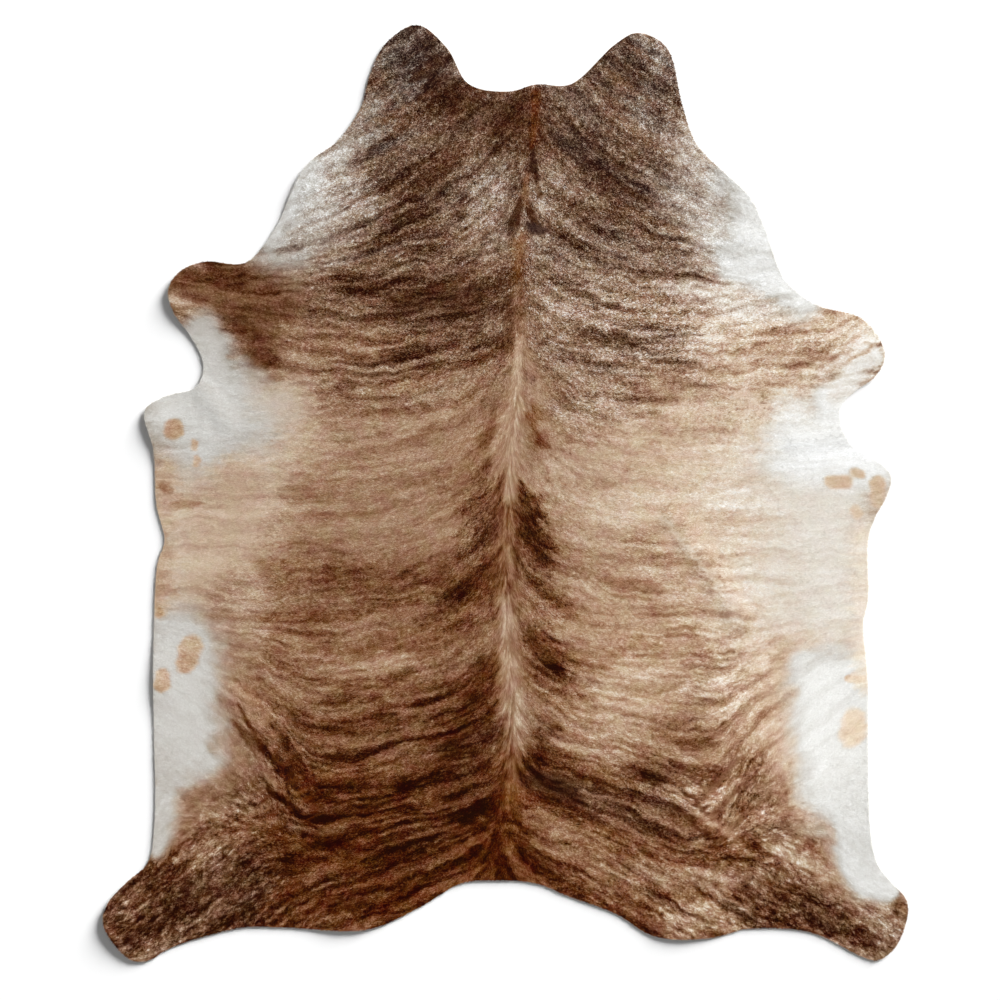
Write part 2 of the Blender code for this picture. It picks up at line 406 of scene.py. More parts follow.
def rib_points():
    """The plan of the sheet: an array of ribs, by steps from the backbone out, by x and y.

    The ribs go once round the hide, and two that face each other share their start. Starts are as
    far apart on the backbone as keeps the two edges evenly divided. Each rib is a quadratic curve
    from the backbone, by a handle, to the edge. The whole plan is then centred, and stretched the
    last little way to the hide's width and length.
    """
    sides = outline_sides()
    down = np.linspace(sides[0][0, 2], sides[0][-1, 2], STATIONS_TRIED)
    way = sum(np.interp(down, side[:, 2], side[:, 3]) for side in sides)
    stations = np.interp(np.linspace(0, way[-1], RIBS_PER_SIDE + 1), way, down)
    right, left = (np.column_stack([np.interp(stations, side[:, 2], side[:, i]) for i in (0, 1)])
                   for side in sides)
    backbone = smooth_through(BACKBONE, closed=False)
    start = np.column_stack([np.interp(stations, -backbone[:, 1], backbone[:, 0]), -stations])
    start = np.vstack([start, start[-2:0:-1]])[:, None]
    end = np.vstack([right, left[-2:0:-1]])[:, None]
    across = np.abs(end[..., 0] - start[..., 0]) / (HIDE_WIDTH / 2)
    along = HANDLE_ALONG[0] + (HANDLE_ALONG[1] - HANDLE_ALONG[0]) * across**2
    shares = np.stack([np.full_like(along, HANDLE_ACROSS), along], axis=2)
    handle = start + (end - start) * shares
    t = 1 - (1 - np.linspace(0, 1, STEPS_PER_RIB + 1)) ** RIM_CLOSENESS
    t = t[None, :, None]
    plan = (1 - t) ** 2 * start + 2 * t * (1 - t) * handle + t**2 * end
    low, high = plan.min(axis=(0, 1)), plan.max(axis=(0, 1))
    return (plan - (low + high) / 2) * np.array([HIDE_WIDTH, HIDE_LENGTH]) / (high - low)


def mound(distance, reach):
    """A soft bump of height 1 that is exactly 0 from reach outwards: (1 - (d / r)^2) cubed."""
    return np.clip(1 - (distance / reach) ** 2, 0, None) ** 3


def lift_off_floor(x, y):
    """How high the sheet's underside stands over the floor: the highest curl or crease there."""
    lift = np.zeros_like(x)
    for _, curl_x, curl_y, reach, height in CURLS:
        lift = np.maximum(lift, height * mound(np.hypot(x - curl_x, y - curl_y), reach))
    for _, x0, y0, x1, y1, half_width, height in CREASES:
        length = np.hypot(x1 - x0, y1 - y0)
        along = ((x - x0) * (x1 - x0) + (y - y0) * (y1 - y0)) / length
        beyond = along - np.clip(along, 0, length)
        across = ((x - x0) * (y1 - y0) - (y - y0) * (x1 - x0)) / length
        lift = np.maximum(lift, height * mound(np.hypot(across, beyond), half_width))
    return lift

# %% [markdown]
# ## The leather
#
# Tanned cattle leather is about 2 mm thick and even. It has a hair side, a suede flesh side and a
# pale cut edge. It could be a single surface that Solidify thickens, but the three sides need
# three materials, so the closed shell is built straight from the grid of ribs: once for the
# underside, once 2 mm higher, and a strip of quads between them along the edge. Where a rib of
# the right side and one of the left start at the same point of the backbone, they share it.

# %% the leather
HAIR_SIDE, FLESH_SIDE, CUT_EDGE = range(3)  # the order of the material slots

plan = rib_points()
plan_x, plan_y = plan[..., 0], plan[..., 1]
plan_lift = lift_off_floor(plan_x, plan_y)


def shared_points(ribs, steps):
    """A number for each point of the plan, the same for two that share a place on the backbone."""
    numbers = np.arange(ribs * steps).reshape(ribs, steps)
    numbers[ribs // 2 + 1:, 0] = numbers[ribs // 2 - 1:0:-1, 0]
    return numbers


def leather_shell():
    """The closed shell: points, quads and each quad's material slot.

    Both layers are the plan's points, at the lift and one leather thickness above it. A quad
    joins two ribs and two steps. The underside's quads run the other way round, so that they
    face down, and a last strip joins the two layers' outermost points.
    """
    ribs, steps = plan_x.shape
    numbers = shared_points(ribs, steps)
    ahead = np.roll(numbers, -1, axis=0)
    quads = np.stack([numbers[:, :-1], ahead[:, :-1], ahead[:, 1:], numbers[:, 1:]], axis=2)
    below = quads.reshape(-1, 4)
    above = below[:, ::-1] + ribs * steps
    edge, edge_ahead = numbers[:, -1], ahead[:, -1]
    strip = np.column_stack([edge, edge_ahead, edge_ahead + ribs * steps, edge + ribs * steps])
    faces = np.vstack([above, below, strip])
    slots = np.repeat([HAIR_SIDE, FLESH_SIDE, CUT_EDGE], [len(above), len(below), len(strip)])
    layer = np.stack([plan_x, plan_y, plan_lift], axis=2).reshape(-1, 3)
    points = np.vstack([layer, layer + (0, 0, LEATHER_THICKNESS)])
    used, faces = np.unique(faces, return_inverse=True)
    return points[used], faces.reshape(-1, 4), slots


def make_mesh(name, points, faces, slots=None):
    """A mesh of faces that all have the same number of corners."""
    mesh = bpy.data.meshes.new(name)
    corners = faces.shape[1]
    mesh.vertices.add(len(points))
    mesh.vertices.foreach_set("co", points.ravel())
    mesh.loops.add(faces.size)
    mesh.loops.foreach_set("vertex_index", faces.ravel())
    mesh.polygons.add(len(faces))
    mesh.polygons.foreach_set("loop_start", np.arange(0, faces.size, corners))
    if slots is not None:
        mesh.polygons.foreach_set("material_index", slots)
    mesh.update(calc_edges=True)
    mesh.validate()
    return mesh


def add_piece(name, mesh):
    """Puts a mesh into the scene at the origin."""
    piece = bpy.data.objects.new(name, mesh)
    bpy.context.scene.collection.objects.link(piece)
    return piece


leather_points, leather_faces, leather_slots = leather_shell()
leather = add_piece("leather", make_mesh("leather", leather_points, leather_faces, leather_slots))
print(f"leather: {len(leather_points)} points, {len(leather_faces)} quads")

# %% [markdown]
# ## A map of the coat
#
# Three things vary over a brindle coat: how light it is, how strongly it is streaked, and how warm
# its brown is. They are kept as arrays on a square grid over the plan, a map that any hair can be
# looked up on. The grid's 2 mm is about the width of a small tuft, and the finer grain comes from
# the hairs themselves.

# %% the map's grid
MAP_STEP = 0.002
MAP_MARGIN = 0.030
LAST_ENTRY = 1.001   # a place in a table stays this far before its end, where a next entry exists

map_low = np.array([-HIDE_WIDTH / 2 - MAP_MARGIN, -HIDE_LENGTH / 2 - MAP_MARGIN])
map_x, map_y = np.meshgrid(np.arange(map_low[0], -map_low[0], MAP_STEP),
                           np.arange(map_low[1], -map_low[1], MAP_STEP))


def blend_four(table, row, column):
    """A table's value between its entries: the mean of the nearest four, by how close each is."""
    row = np.clip(row, 0, table.shape[0] - LAST_ENTRY)
    column = np.clip(column, 0, table.shape[1] - LAST_ENTRY)
    top, left = row.astype(int), column.astype(int)
    down, right = row - top, column - left
    upper = table[top, left] * (1 - right) + table[top, left + 1] * right
    lower = table[top + 1, left] * (1 - right) + table[top + 1, left + 1] * right
    return upper * (1 - down) + lower * down


def look_up(field, x, y):
    """The map's value at any place."""
    return blend_four(field, (y - map_low[1]) / MAP_STEP, (x - map_low[0]) / MAP_STEP)


print("map:", map_x.shape[1], "by", map_x.shape[0])

# %% [markdown]
# ## Which way the hair grows
#
# Hair grows away from the backbone: at a slant backwards close to it, and straight outwards on
# the barrel. It turns forwards again over the elbow and in the flank. The table gives
# the angle from straight backwards towards outwards, in degrees, for places down the hide and
# away from the backbone. Both sides use it, mirrored, so the hair parts along the backbone. There
# the sideways part of the direction fades out and in again, which makes the feathered line down
# the middle. No hide is quite even: on this one the hair of the left rump lies a little straighter
# outwards than that of the right.

# %% the lie of the hair
AWAY = (0.00, 0.06, 0.14, 0.30, 0.40, 0.50, 0.60, 0.75, 0.90)  # distances from the backbone
GROWTH = (
    # place down the hide, then the angles at those distances
    (1.05, (35, 45, 55, 60, 60, 60, 60, 60, 60)),
    (0.85, (35, 42, 50, 60, 64, 65, 65, 65, 65)),
    (0.65, (40, 46, 54, 64, 66, 68, 71, 75, 80)),
    (0.52, (45, 56, 66, 74, 77, 80, 85, 95, 100)),
    (0.42, (42, 58, 76, 88, 93, 98, 104, 106, 108)),
    (0.30, (30, 54, 76, 89, 92, 94, 94, 94, 94)),
    (0.12, (24, 42, 62, 86, 89, 90, 90, 90, 92)),
    (-0.10, (22, 42, 62, 84, 87, 89, 90, 92, 95)),
    (-0.30, (22, 46, 68, 84, 86, 88, 95, 100, 100)),
    (-0.45, (24, 50, 70, 80, 84, 118, 132, 125, 105)),
    (-0.58, (26, 54, 70, 72, 78, 142, 142, 130, 100)),
    (-0.72, (30, 58, 68, 68, 70, 148, 120, 80, 60)),
    (-0.80, (27, 55, 66, 67, 70, 110, 60, 55, 55)),
    (-0.90, (27, 52, 62, 64, 62, 60, 54, 54, 58)),
    (-1.05, (27, 52, 60, 60, 58, 58, 58, 62, 65)),
)
PARTING_WIDTH = 0.020
LEFT_STRAIGHTER = 10.0    # degrees that the left rump's hair lies straighter out than the right's
LEFT_RUMP_TOP = -0.45     # where down the hide that starts
LEFT_RUMP_EASE = 0.20     # the distance, down and away from the backbone, over which it grows full
LEFT_RUMP_REACH = 0.42    # how far from the backbone it goes, which is where the leg's whorl starts
SPINE_STRIP = 0.032       # the half width of the strip where the hair is long and lies straight
SPINE_ENDS = (-0.75, -0.60, 0.20, 0.45)  # the strip fades in between the first two, out after them


def beside_spine(x, y):
    """How far a place is to the right of the backbone."""
    backbone = smooth_through(BACKBONE, closed=False)
    return x - np.interp(-y, -backbone[:, 1], backbone[:, 0])


def growth_direction(x, y):
    """The unit vector along which the hair lies, from the growth table.

    The left rump's angles get LEFT_STRAIGHTER more, times a share that grows in both directions.
    The vector's sideways part is the angle's sine times a sign that turns smoothly from -1 left of
    the backbone to 1 right of it, and its other part is minus the angle's cosine.
    """
    sideways = beside_spine(x, y)
    places = np.array([row[0] for row in GROWTH])
    angles = np.radians([row[1] for row in GROWTH])
    row = np.interp(-y, -places, np.arange(len(places)))
    column = np.interp(np.abs(sideways), AWAY, np.arange(len(AWAY)))
    angle = blend_four(angles, row, column)
    left_rump = (np.clip(-sideways / LEFT_RUMP_EASE, 0, 1)
                 * np.clip((LEFT_RUMP_TOP - y) / LEFT_RUMP_EASE, 0, 1))
    angle = angle + np.radians(LEFT_STRAIGHTER) * left_rump * (np.abs(sideways) < LEFT_RUMP_REACH)
    across = np.sin(angle) * np.tanh(sideways / PARTING_WIDTH)
    along = -np.cos(angle)
    length = np.hypot(across, along)
    return across / length, along / length


growth_x, growth_y = growth_direction(map_x, map_y)
spine_share = np.exp(-(beside_spine(map_x, map_y) / SPINE_STRIP) ** 2)
spine_share = spine_share * np.interp(map_y, SPINE_ENDS, (0, 1, 1, 0))
print(f"hair leans {np.degrees(np.arccos(-growth_y)).mean():.0f} degrees from straight back on average")

# %% [markdown]
# ## Combed noise
#
# Brindle is random, but its streaks lie along the hair. Plain noise has no direction, so it is
# combed: every place takes the mean of the noise on the path that leads there through the coat.
# Walking that path step by step would take many small steps. Doubling is quicker: the mean of a
# place and the one a step behind it, then of that result and itself two steps behind, then four,
# and so on. Seven rounds, the most that any streak gets, comb over 128 steps or a quarter of a
# metre. The shift for each round is found from the last one in the same way.

# %% combing
COMB_ROUNDS = 7
SEED = 11
SPARE_CELLS = 3   # more of the coarse grid than the map needs, to have neighbours at its end

random = np.random.default_rng(SEED)


def comb_shifts():
    """For each round, how far back along the hair a place looks, as an x and a y array."""
    x, y = -growth_x * MAP_STEP, -growth_y * MAP_STEP
    shifts = []
    for _ in range(COMB_ROUNDS):
        shifts.append((x, y))
        x, y = (x + look_up(x, map_x + x, map_y + y), y + look_up(y, map_x + x, map_y + y))
    return shifts


def combed(field, rounds):
    """The field averaged over 2 to the power of rounds steps back along the hair."""
    for x, y in shifts[:rounds]:
        field = (field + look_up(field, map_x + x, map_y + y)) / 2
    return field


def eased(place):
    """A place on the coarse grid with its part after the point, t, made t * t * (3 - 2 * t)."""
    return np.floor(place) + (place % 1) ** 2 * (3 - 2 * (place % 1))


def noise(cell):
    """Soft noise: random numbers on a coarse grid, blended between with an eased share."""
    rows, columns = (int(side * MAP_STEP / cell) + SPARE_CELLS for side in map_x.shape)
    table = random.standard_normal((rows, columns))
    row, column = ((place - low) / cell for place, low in ((map_y, map_low[1]), (map_x, map_low[0])))
    return blend_four(table, eased(row), eased(column))


def streaks(cell, rounds, crispness=0.0, lightward=0.0):
    """Combed noise, made even again: mean 0 and spread 1.

    Crispness draws the values towards two levels, by tanh(crispness * (value + lightward)), and
    lightward makes the dark level the rarer one.
    """
    field = combed(noise(cell), rounds)
    field = (field - field.mean()) / field.std()
    if crispness:
        field = np.tanh(crispness * (field + lightward))
        field = (field - field.mean()) / field.std()
    return field


shifts = comb_shifts()
print(f"combed over {2 ** COMB_ROUNDS} steps of {MAP_STEP * 1000:.0f} mm at most")

# %% [markdown]
# ## The streaks in layers
#
# A brindle coat has streaks of every size at once, from bands a thumb broad down to single locks.
# So noise of six sizes is combed, each for its own number of rounds, and added up. The strengths
# differ down the hide: the neck is grizzled and hardly striped, and the shoulders and rump are
# striped most. Two places are on their own. Long pale strands lie on the backbone, and the hind
# legs' hair stands in short crossing locks without stripes. Last, slow waves shift the whole
# pattern about, because real streaks aren't ruled lines, but leave the backbone's strands still.

# %% the streaks
PLACES = (0.85, 0.40, 0.05, -0.25, -0.65)   # neck, shoulders, barrel, loin and rump, down the hide
STREAK_LAYERS = (
    # name, cell size, rounds of combing, crispness, lightward, then its strengths: at those places,
    # on the backbone's strip and on the hind legs
    ("bands", 0.026, 7, 0.0, 0.0, (0.030, 0.025, 0.045, 0.050, 0.040), 0.015, 0.050),
    ("stripes", 0.010, 6, 2.5, 0.6, (0.030, 0.085, 0.050, 0.060, 0.085), 0.010, 0.010),
    ("streaks", 0.0065, 6, 1.5, 0.4, (0.045, 0.075, 0.045, 0.060, 0.080), 0.020, 0.030),
    ("strokes", 0.0045, 3, 0.0, 0.0, (0.055, 0.045, 0.045, 0.045, 0.045), 0.030, 0.105),
    ("clumps", 0.003, 1, 0.0, 0.0, (0.070, 0.045, 0.030, 0.035, 0.035), 0.020, 0.085),
    ("strands", 0.002, 4, 1.0, 0.0, (0.0, 0.0, 0.0, 0.0, 0.0), 0.110, 0.0),
)
HIND_LEGS = (0.40, 0.56, -0.55, -0.67)   # they fade in from the first x to the next, and so in y
WAVES = (
    # cell size and length of the shift
    (0.080, 0.006),
    (0.030, 0.003),
    (0.012, 0.0012),
)


def down_the_hide(y, values):
    """The value at each y, read between the values at the places."""
    return np.interp(-y, [-place for place in PLACES], values)


leg_share = (np.clip((np.abs(map_x) - HIND_LEGS[0]) / (HIND_LEGS[1] - HIND_LEGS[0]), 0, 1)
             * np.clip((map_y - HIND_LEGS[2]) / (HIND_LEGS[3] - HIND_LEGS[2]), 0, 1))
streak_map = np.zeros_like(map_x)
for _, cell, rounds, crispness, lightward, strengths, on_spine, on_legs in STREAK_LAYERS:
    strength = down_the_hide(map_y, strengths)
    strength = strength + (on_spine - strength) * spine_share
    strength = strength + (on_legs - strength) * leg_share
    streak_map += strength * streaks(cell, rounds, crispness, lightward)
wave_x, wave_y = (sum(length * noise(cell) for cell, length in WAVES) for _ in range(2))
still = 1 - spine_share
streak_map = look_up(streak_map, map_x + still * wave_x, map_y + still * wave_y)
print(f"streaks spread {streak_map.std():.3f} around the coat's own lightness")

# %% [markdown]
# ## Borders between colours
#
# Where brown hair meets white, no border is a drawn line. Three more maps see to that. One shifts
# a border in and out, one draws it out along the hair, and one speckles it with hairs of the other
# colour. They are laid down here, and the marks below use them.

# %% the borders between colours
RAGGED = ((0.008, 0.040, 3), (0.004, 0.012, 4))   # length of the shift, cell size, rounds
DRAWN = ((0.014, 0.010, 5), (0.008, 0.004, 3))    # the same, for the shift along the hair
SPECKLE_CELL = 0.004


def border_shift(layers):
    """How far a border is shifted at each place: the layers' streaks, each times its length."""
    return sum(length * streaks(cell, rounds) for length, cell, rounds in layers)


ragged_map, drawn_map = border_shift(RAGGED), border_shift(DRAWN)
speckle_map = streaks(SPECKLE_CELL, 1)
print(f"borders shift by {ragged_map.std() * 1000:.0f} mm, "
      f"and by {drawn_map.std() * 1000:.0f} mm along the hair")

# %% [markdown]
# ## Where the coat is dark, pale, streaked or white
#
# The large pattern is this hide's own, and it is laid down as a painter would: broad areas first,
# then smaller marks over them. Each mark runs from one place to another with a reach at each end,
# like a drop or a bean. Its outline is shifted by the ragged noise. Its soft border is drawn out
# along the hair and broken up by the speckle, because where two colours of hair meet, single hairs
# of both stand side by side. A clean border, as round a spot, has a small share of both.
#
# The marks were placed one by one, and their tones set by comparing them with the hide. They follow
# it from neck to tail, part by part, and all the tables have the first one's columns.

# %% the broad areas
BROAD_MARKS = (
    # name, x, y and reach at both ends, softness, share drawn out, lightness, contrast, warmth
    ("neck", -0.149, 0.964, 0.205, 0.192, 0.919, 0.228, 0.5, 1.0, 0.32, 1.05, -0.15),
    ("lower neck", -0.240, 0.702, 0.150, 0.306, 0.691, 0.150, 0.7, 1.0, 0.31, 1.05, -0.1),
    ("shoulders", -0.263, 0.463, 0.150, 0.306, 0.372, 0.182, 0.7, 1.0, 0.37, 1.1, 0.1),
    ("barrel", -0.468, 0.076, 0.228, 0.306, 0.054, 0.250, 0.6, 1.0, 0.56, 0.55, 0.4),
    ("loin", -0.491, -0.265, 0.250, 0.443, -0.288, 0.250, 0.5, 1.0, 0.43, 0.75, 0.6),
    ("right flank, pale rim", 0.579, -0.375, 0.032, 0.616, -0.411, 0.032, 0.9, 0.8, 0.78, 0.5, 0.2),
    ("rump", -0.582, -0.789, 0.250, 0.534, -0.789, 0.250, 0.4, 1.0, 0.22, 0.95, 0.7),
)
print(len(BROAD_MARKS), "marks: the broad areas")

# %% [markdown]
# The neck is the greyest and most grizzled part. Each flap has a dark and a pale side.

# %% the neck
NECK_MARKS = (
    ("left neck flap", -0.245, 1.021, 0.068, -0.183, 0.953, 0.068, 0.6, 1.0, 0.3, 1.1, -0.5),
    ("left neck flap, dark", -0.176, 0.983, 0.032, -0.126, 0.896, 0.050, 0.8, 1.0, 0.12, 0.8, -0.1),
    ("left neck flap, edge", -0.304, 0.885, 0.023, -0.318, 0.816, 0.036, 0.8, 1.0, 0.52, 1.0, -0.5),
    ("right neck flap", 0.329, 1.005, 0.068, 0.356, 0.873, 0.077, 0.6, 1.0, 0.37, 1.15, -0.2),
    ("right neck flap, dark", 0.265, 0.960, 0.027, 0.256, 0.869, 0.027, 0.8, 1.0, 0.3, 1.0, 0.0),
    ("neckline, dark", -0.081, 0.878, 0.050, 0.033, 0.846, 0.059, 0.8, 1.0, 0.19, 0.8, 0.1),
    ("neck, dark, right", 0.165, 0.809, 0.030, 0.283, 0.691, 0.034, 0.9, 1.0, 0.18, 1.0, -0.1),
    ("neck, dark, left", -0.222, 0.634, 0.055, -0.131, 0.809, 0.046, 0.9, 1.0, 0.21, 0.95, 0.1),
    ("neck, by the spine, left", -0.028, 0.723, 0.023, -0.047, 0.618, 0.030, 0.9, 1.0, 0.53, 1.1, -0.1),
    ("neck, by the spine, right", 0.115, 0.691, 0.032, 0.115, 0.595, 0.032, 0.9, 1.0, 0.42, 1.15, -0.1),
    ("neck, right, fading", 0.425, 0.791, 0.046, 0.470, 0.564, 0.073, 0.95, 0.5, 0.68, 0.9, -0.4),
)
print(len(NECK_MARKS), "marks: the neck")

# %% [markdown]
# The shoulders carry the darkest bands, mostly on the left. Below them the coat turns tan, and the
# forelegs keep the colour of the shoulder they grew from.

# %% shoulders and forelegs
SHOULDER_MARKS = (
    ("left shoulder", -0.377, 0.463, 0.077, -0.069, 0.441, 0.105, 0.8, 1.0, 0.26, 0.95, 0.15),
    ("left shoulder, by the spine", -0.063, 0.577, 0.023, -0.044, 0.545, 0.023, 0.9, 1.0, 0.52, 1.0, 0.1),
    ("left shoulder, darkest", -0.229, 0.434, 0.032, -0.104, 0.445, 0.036, 0.9, 1.0, 0.16, 0.7, 0.1),
    ("left shoulder, lower", -0.286, 0.327, 0.059, -0.035, 0.315, 0.064, 0.9, 1.0, 0.3, 1.0, 0.3),
    ("left shoulder, lowest", -0.377, 0.247, 0.050, -0.081, 0.224, 0.050, 0.9, 1.0, 0.45, 0.8, 0.4),
    ("right shoulder, upper", 0.147, 0.566, 0.059, 0.370, 0.550, 0.046, 0.8, 1.0, 0.31, 1.1, -0.1),
    ("right shoulder, upper, pale", 0.302, 0.495, 0.018, 0.361, 0.477, 0.018, 0.9, 1.0, 0.58, 1.0, 0.0),
    ("right shoulder", 0.181, 0.372, 0.114, 0.397, 0.361, 0.105, 0.8, 1.0, 0.48, 1.1, 0.1),
    ("right shoulder, by the spine", 0.097, 0.329, 0.020, 0.129, 0.313, 0.020, 0.9, 1.0, 0.36, 1.1, 0.0),
    ("right shoulder, outer", 0.493, 0.429, 0.064, 0.568, 0.327, 0.064, 0.9, 1.0, 0.66, 0.9, 0.1),
    ("right shoulder, lower", 0.170, 0.213, 0.068, 0.306, 0.213, 0.055, 0.9, 1.0, 0.52, 1.0, 0.1),
    ("right shoulder, lowest", 0.370, 0.217, 0.055, 0.511, 0.208, 0.055, 0.9, 1.0, 0.61, 0.7, 0.2),
    ("left foreleg", -0.714, 0.470, 0.059, -0.541, 0.441, 0.087, 0.45, 0.2, 0.31, 0.5, 0.3),
    ("left foreleg, lower", -0.554, 0.391, 0.068, -0.554, 0.268, 0.027, 0.45, 0.2, 0.31, 0.5, 0.3),
    ("left foreleg, dark edge", -0.684, 0.513, 0.020, -0.532, 0.482, 0.032, 0.8, 1.0, 0.22, 0.6, 0.4),
    ("left foreleg, pale streaks", -0.755, 0.441, 0.016, -0.659, 0.391, 0.018, 0.8, 0.3, 0.66, 0.6, 0.1),
    ("elbow, left", -0.445, 0.338, 0.068, -0.331, 0.338, 0.064, 0.9, 1.0, 0.5, 0.75, 0.4),
    ("right foreleg, inner", 0.500, 0.338, 0.077, 0.614, 0.350, 0.077, 0.8, 0.6, 0.75, 0.8, 0.1),
    ("right foreleg, tan body", 0.539, 0.277, 0.073, 0.648, 0.295, 0.064, 0.45, 0.5, 0.64, 0.7, 0.4),
    ("right foreleg, pale body", 0.507, 0.299, 0.020, 0.543, 0.286, 0.020, 0.9, 0.9, 0.76, 0.6, 0.2),
    ("right foreleg, pale, lower", 0.539, 0.222, 0.020, 0.561, 0.208, 0.020, 0.9, 0.9, 0.8, 0.4, 0.1),
    ("right foreleg", 0.648, 0.327, 0.068, 0.728, 0.350, 0.073, 0.7, 0.8, 0.69, 0.85, 0.3),
    ("right foreleg, tan", 0.671, 0.400, 0.027, 0.807, 0.372, 0.046, 0.8, 1.0, 0.7, 0.7, 0.5),
    ("right foreleg, pinkish", 0.602, 0.327, 0.027, 0.693, 0.293, 0.032, 0.9, 1.0, 0.6, 0.7, 0.3),
    ("right foreleg, tip", 0.798, 0.313, 0.050, 0.825, 0.350, 0.041, 0.8, 1.0, 0.84, 0.5, -0.1),
)
print(len(SHOULDER_MARKS), "marks: shoulders and forelegs")

# %% [markdown]
# The barrel is the plainest and palest brown, paler on the right, and an old crease crosses its
# right flank. The pale line along the crease's ridge is painted highlight. The loin darkens step by
# step towards the rump.

# %% barrel and loin
BARREL_MARKS = (
    ("right barrel", 0.306, 0.044, 0.105, 0.561, 0.026, 0.173, 0.9, 1.0, 0.75, 0.3, 0.3),
    ("right barrel, by the spine", 0.129, 0.054, 0.036, 0.265, 0.067, 0.050, 0.9, 1.0, 0.71, 0.4, 0.3),
    ("left barrel, near the belly", -0.502, 0.099, 0.077, -0.525, -0.015, 0.077, 0.9, 1.0, 0.69, 0.4, 0.3),
    ("left barrel, middle", -0.395, -0.069, 0.105, -0.172, -0.065, 0.096, 0.95, 1.0, 0.53, 0.5, 0.4),
    ("left barrel, lower", -0.400, -0.220, 0.064, -0.217, -0.243, 0.068, 0.8, 1.0, 0.36, 0.75, 0.55),
    ("right barrel, lower", 0.261, -0.060, 0.128, 0.488, -0.060, 0.128, 0.9, 1.0, 0.71, 0.5, 0.3),
    ("right flank", 0.215, -0.261, 0.105, 0.397, -0.288, 0.123, 0.9, 1.0, 0.57, 0.6, 0.45),
    ("right flank, to the crease", 0.318, -0.124, 0.041, 0.443, -0.270, 0.050, 0.35, 0.3, 0.63, 0.7, 0.45),
    # a pale line along the crease's ridge: painted highlight
    ("right flank, crease", 0.347, -0.047, 0.005, 0.420, -0.124, 0.006, 0.95, 0.4, 0.77, 0.25, 0.1),
    ("right flank, crease, lower", 0.420, -0.124, 0.007, 0.493, -0.224, 0.006, 0.95, 0.4, 0.78, 0.25, 0.1),
    ("right flank, crease, end", 0.493, -0.224, 0.006, 0.543, -0.293, 0.004, 0.95, 0.4, 0.75, 0.3, 0.1),
    ("right flank, pale", 0.206, -0.447, 0.091, 0.361, -0.434, 0.091, 0.9, 1.0, 0.68, 0.65, 0.5),
    ("left loin", -0.309, -0.368, 0.082, -0.229, -0.384, 0.077, 0.9, 1.0, 0.5, 0.7, 0.55),
    ("left loin, tan", -0.222, -0.411, 0.027, -0.163, -0.420, 0.023, 0.9, 1.0, 0.52, 0.8, 0.5),
)
print(len(BARREL_MARKS), "marks: barrel and loin")

# %% [markdown]
# The rump is a deep fox brown, with paler saddles on the right, and the hind legs are darker and
# greyer. Between leg and belly the brown fades in a narrow rim.

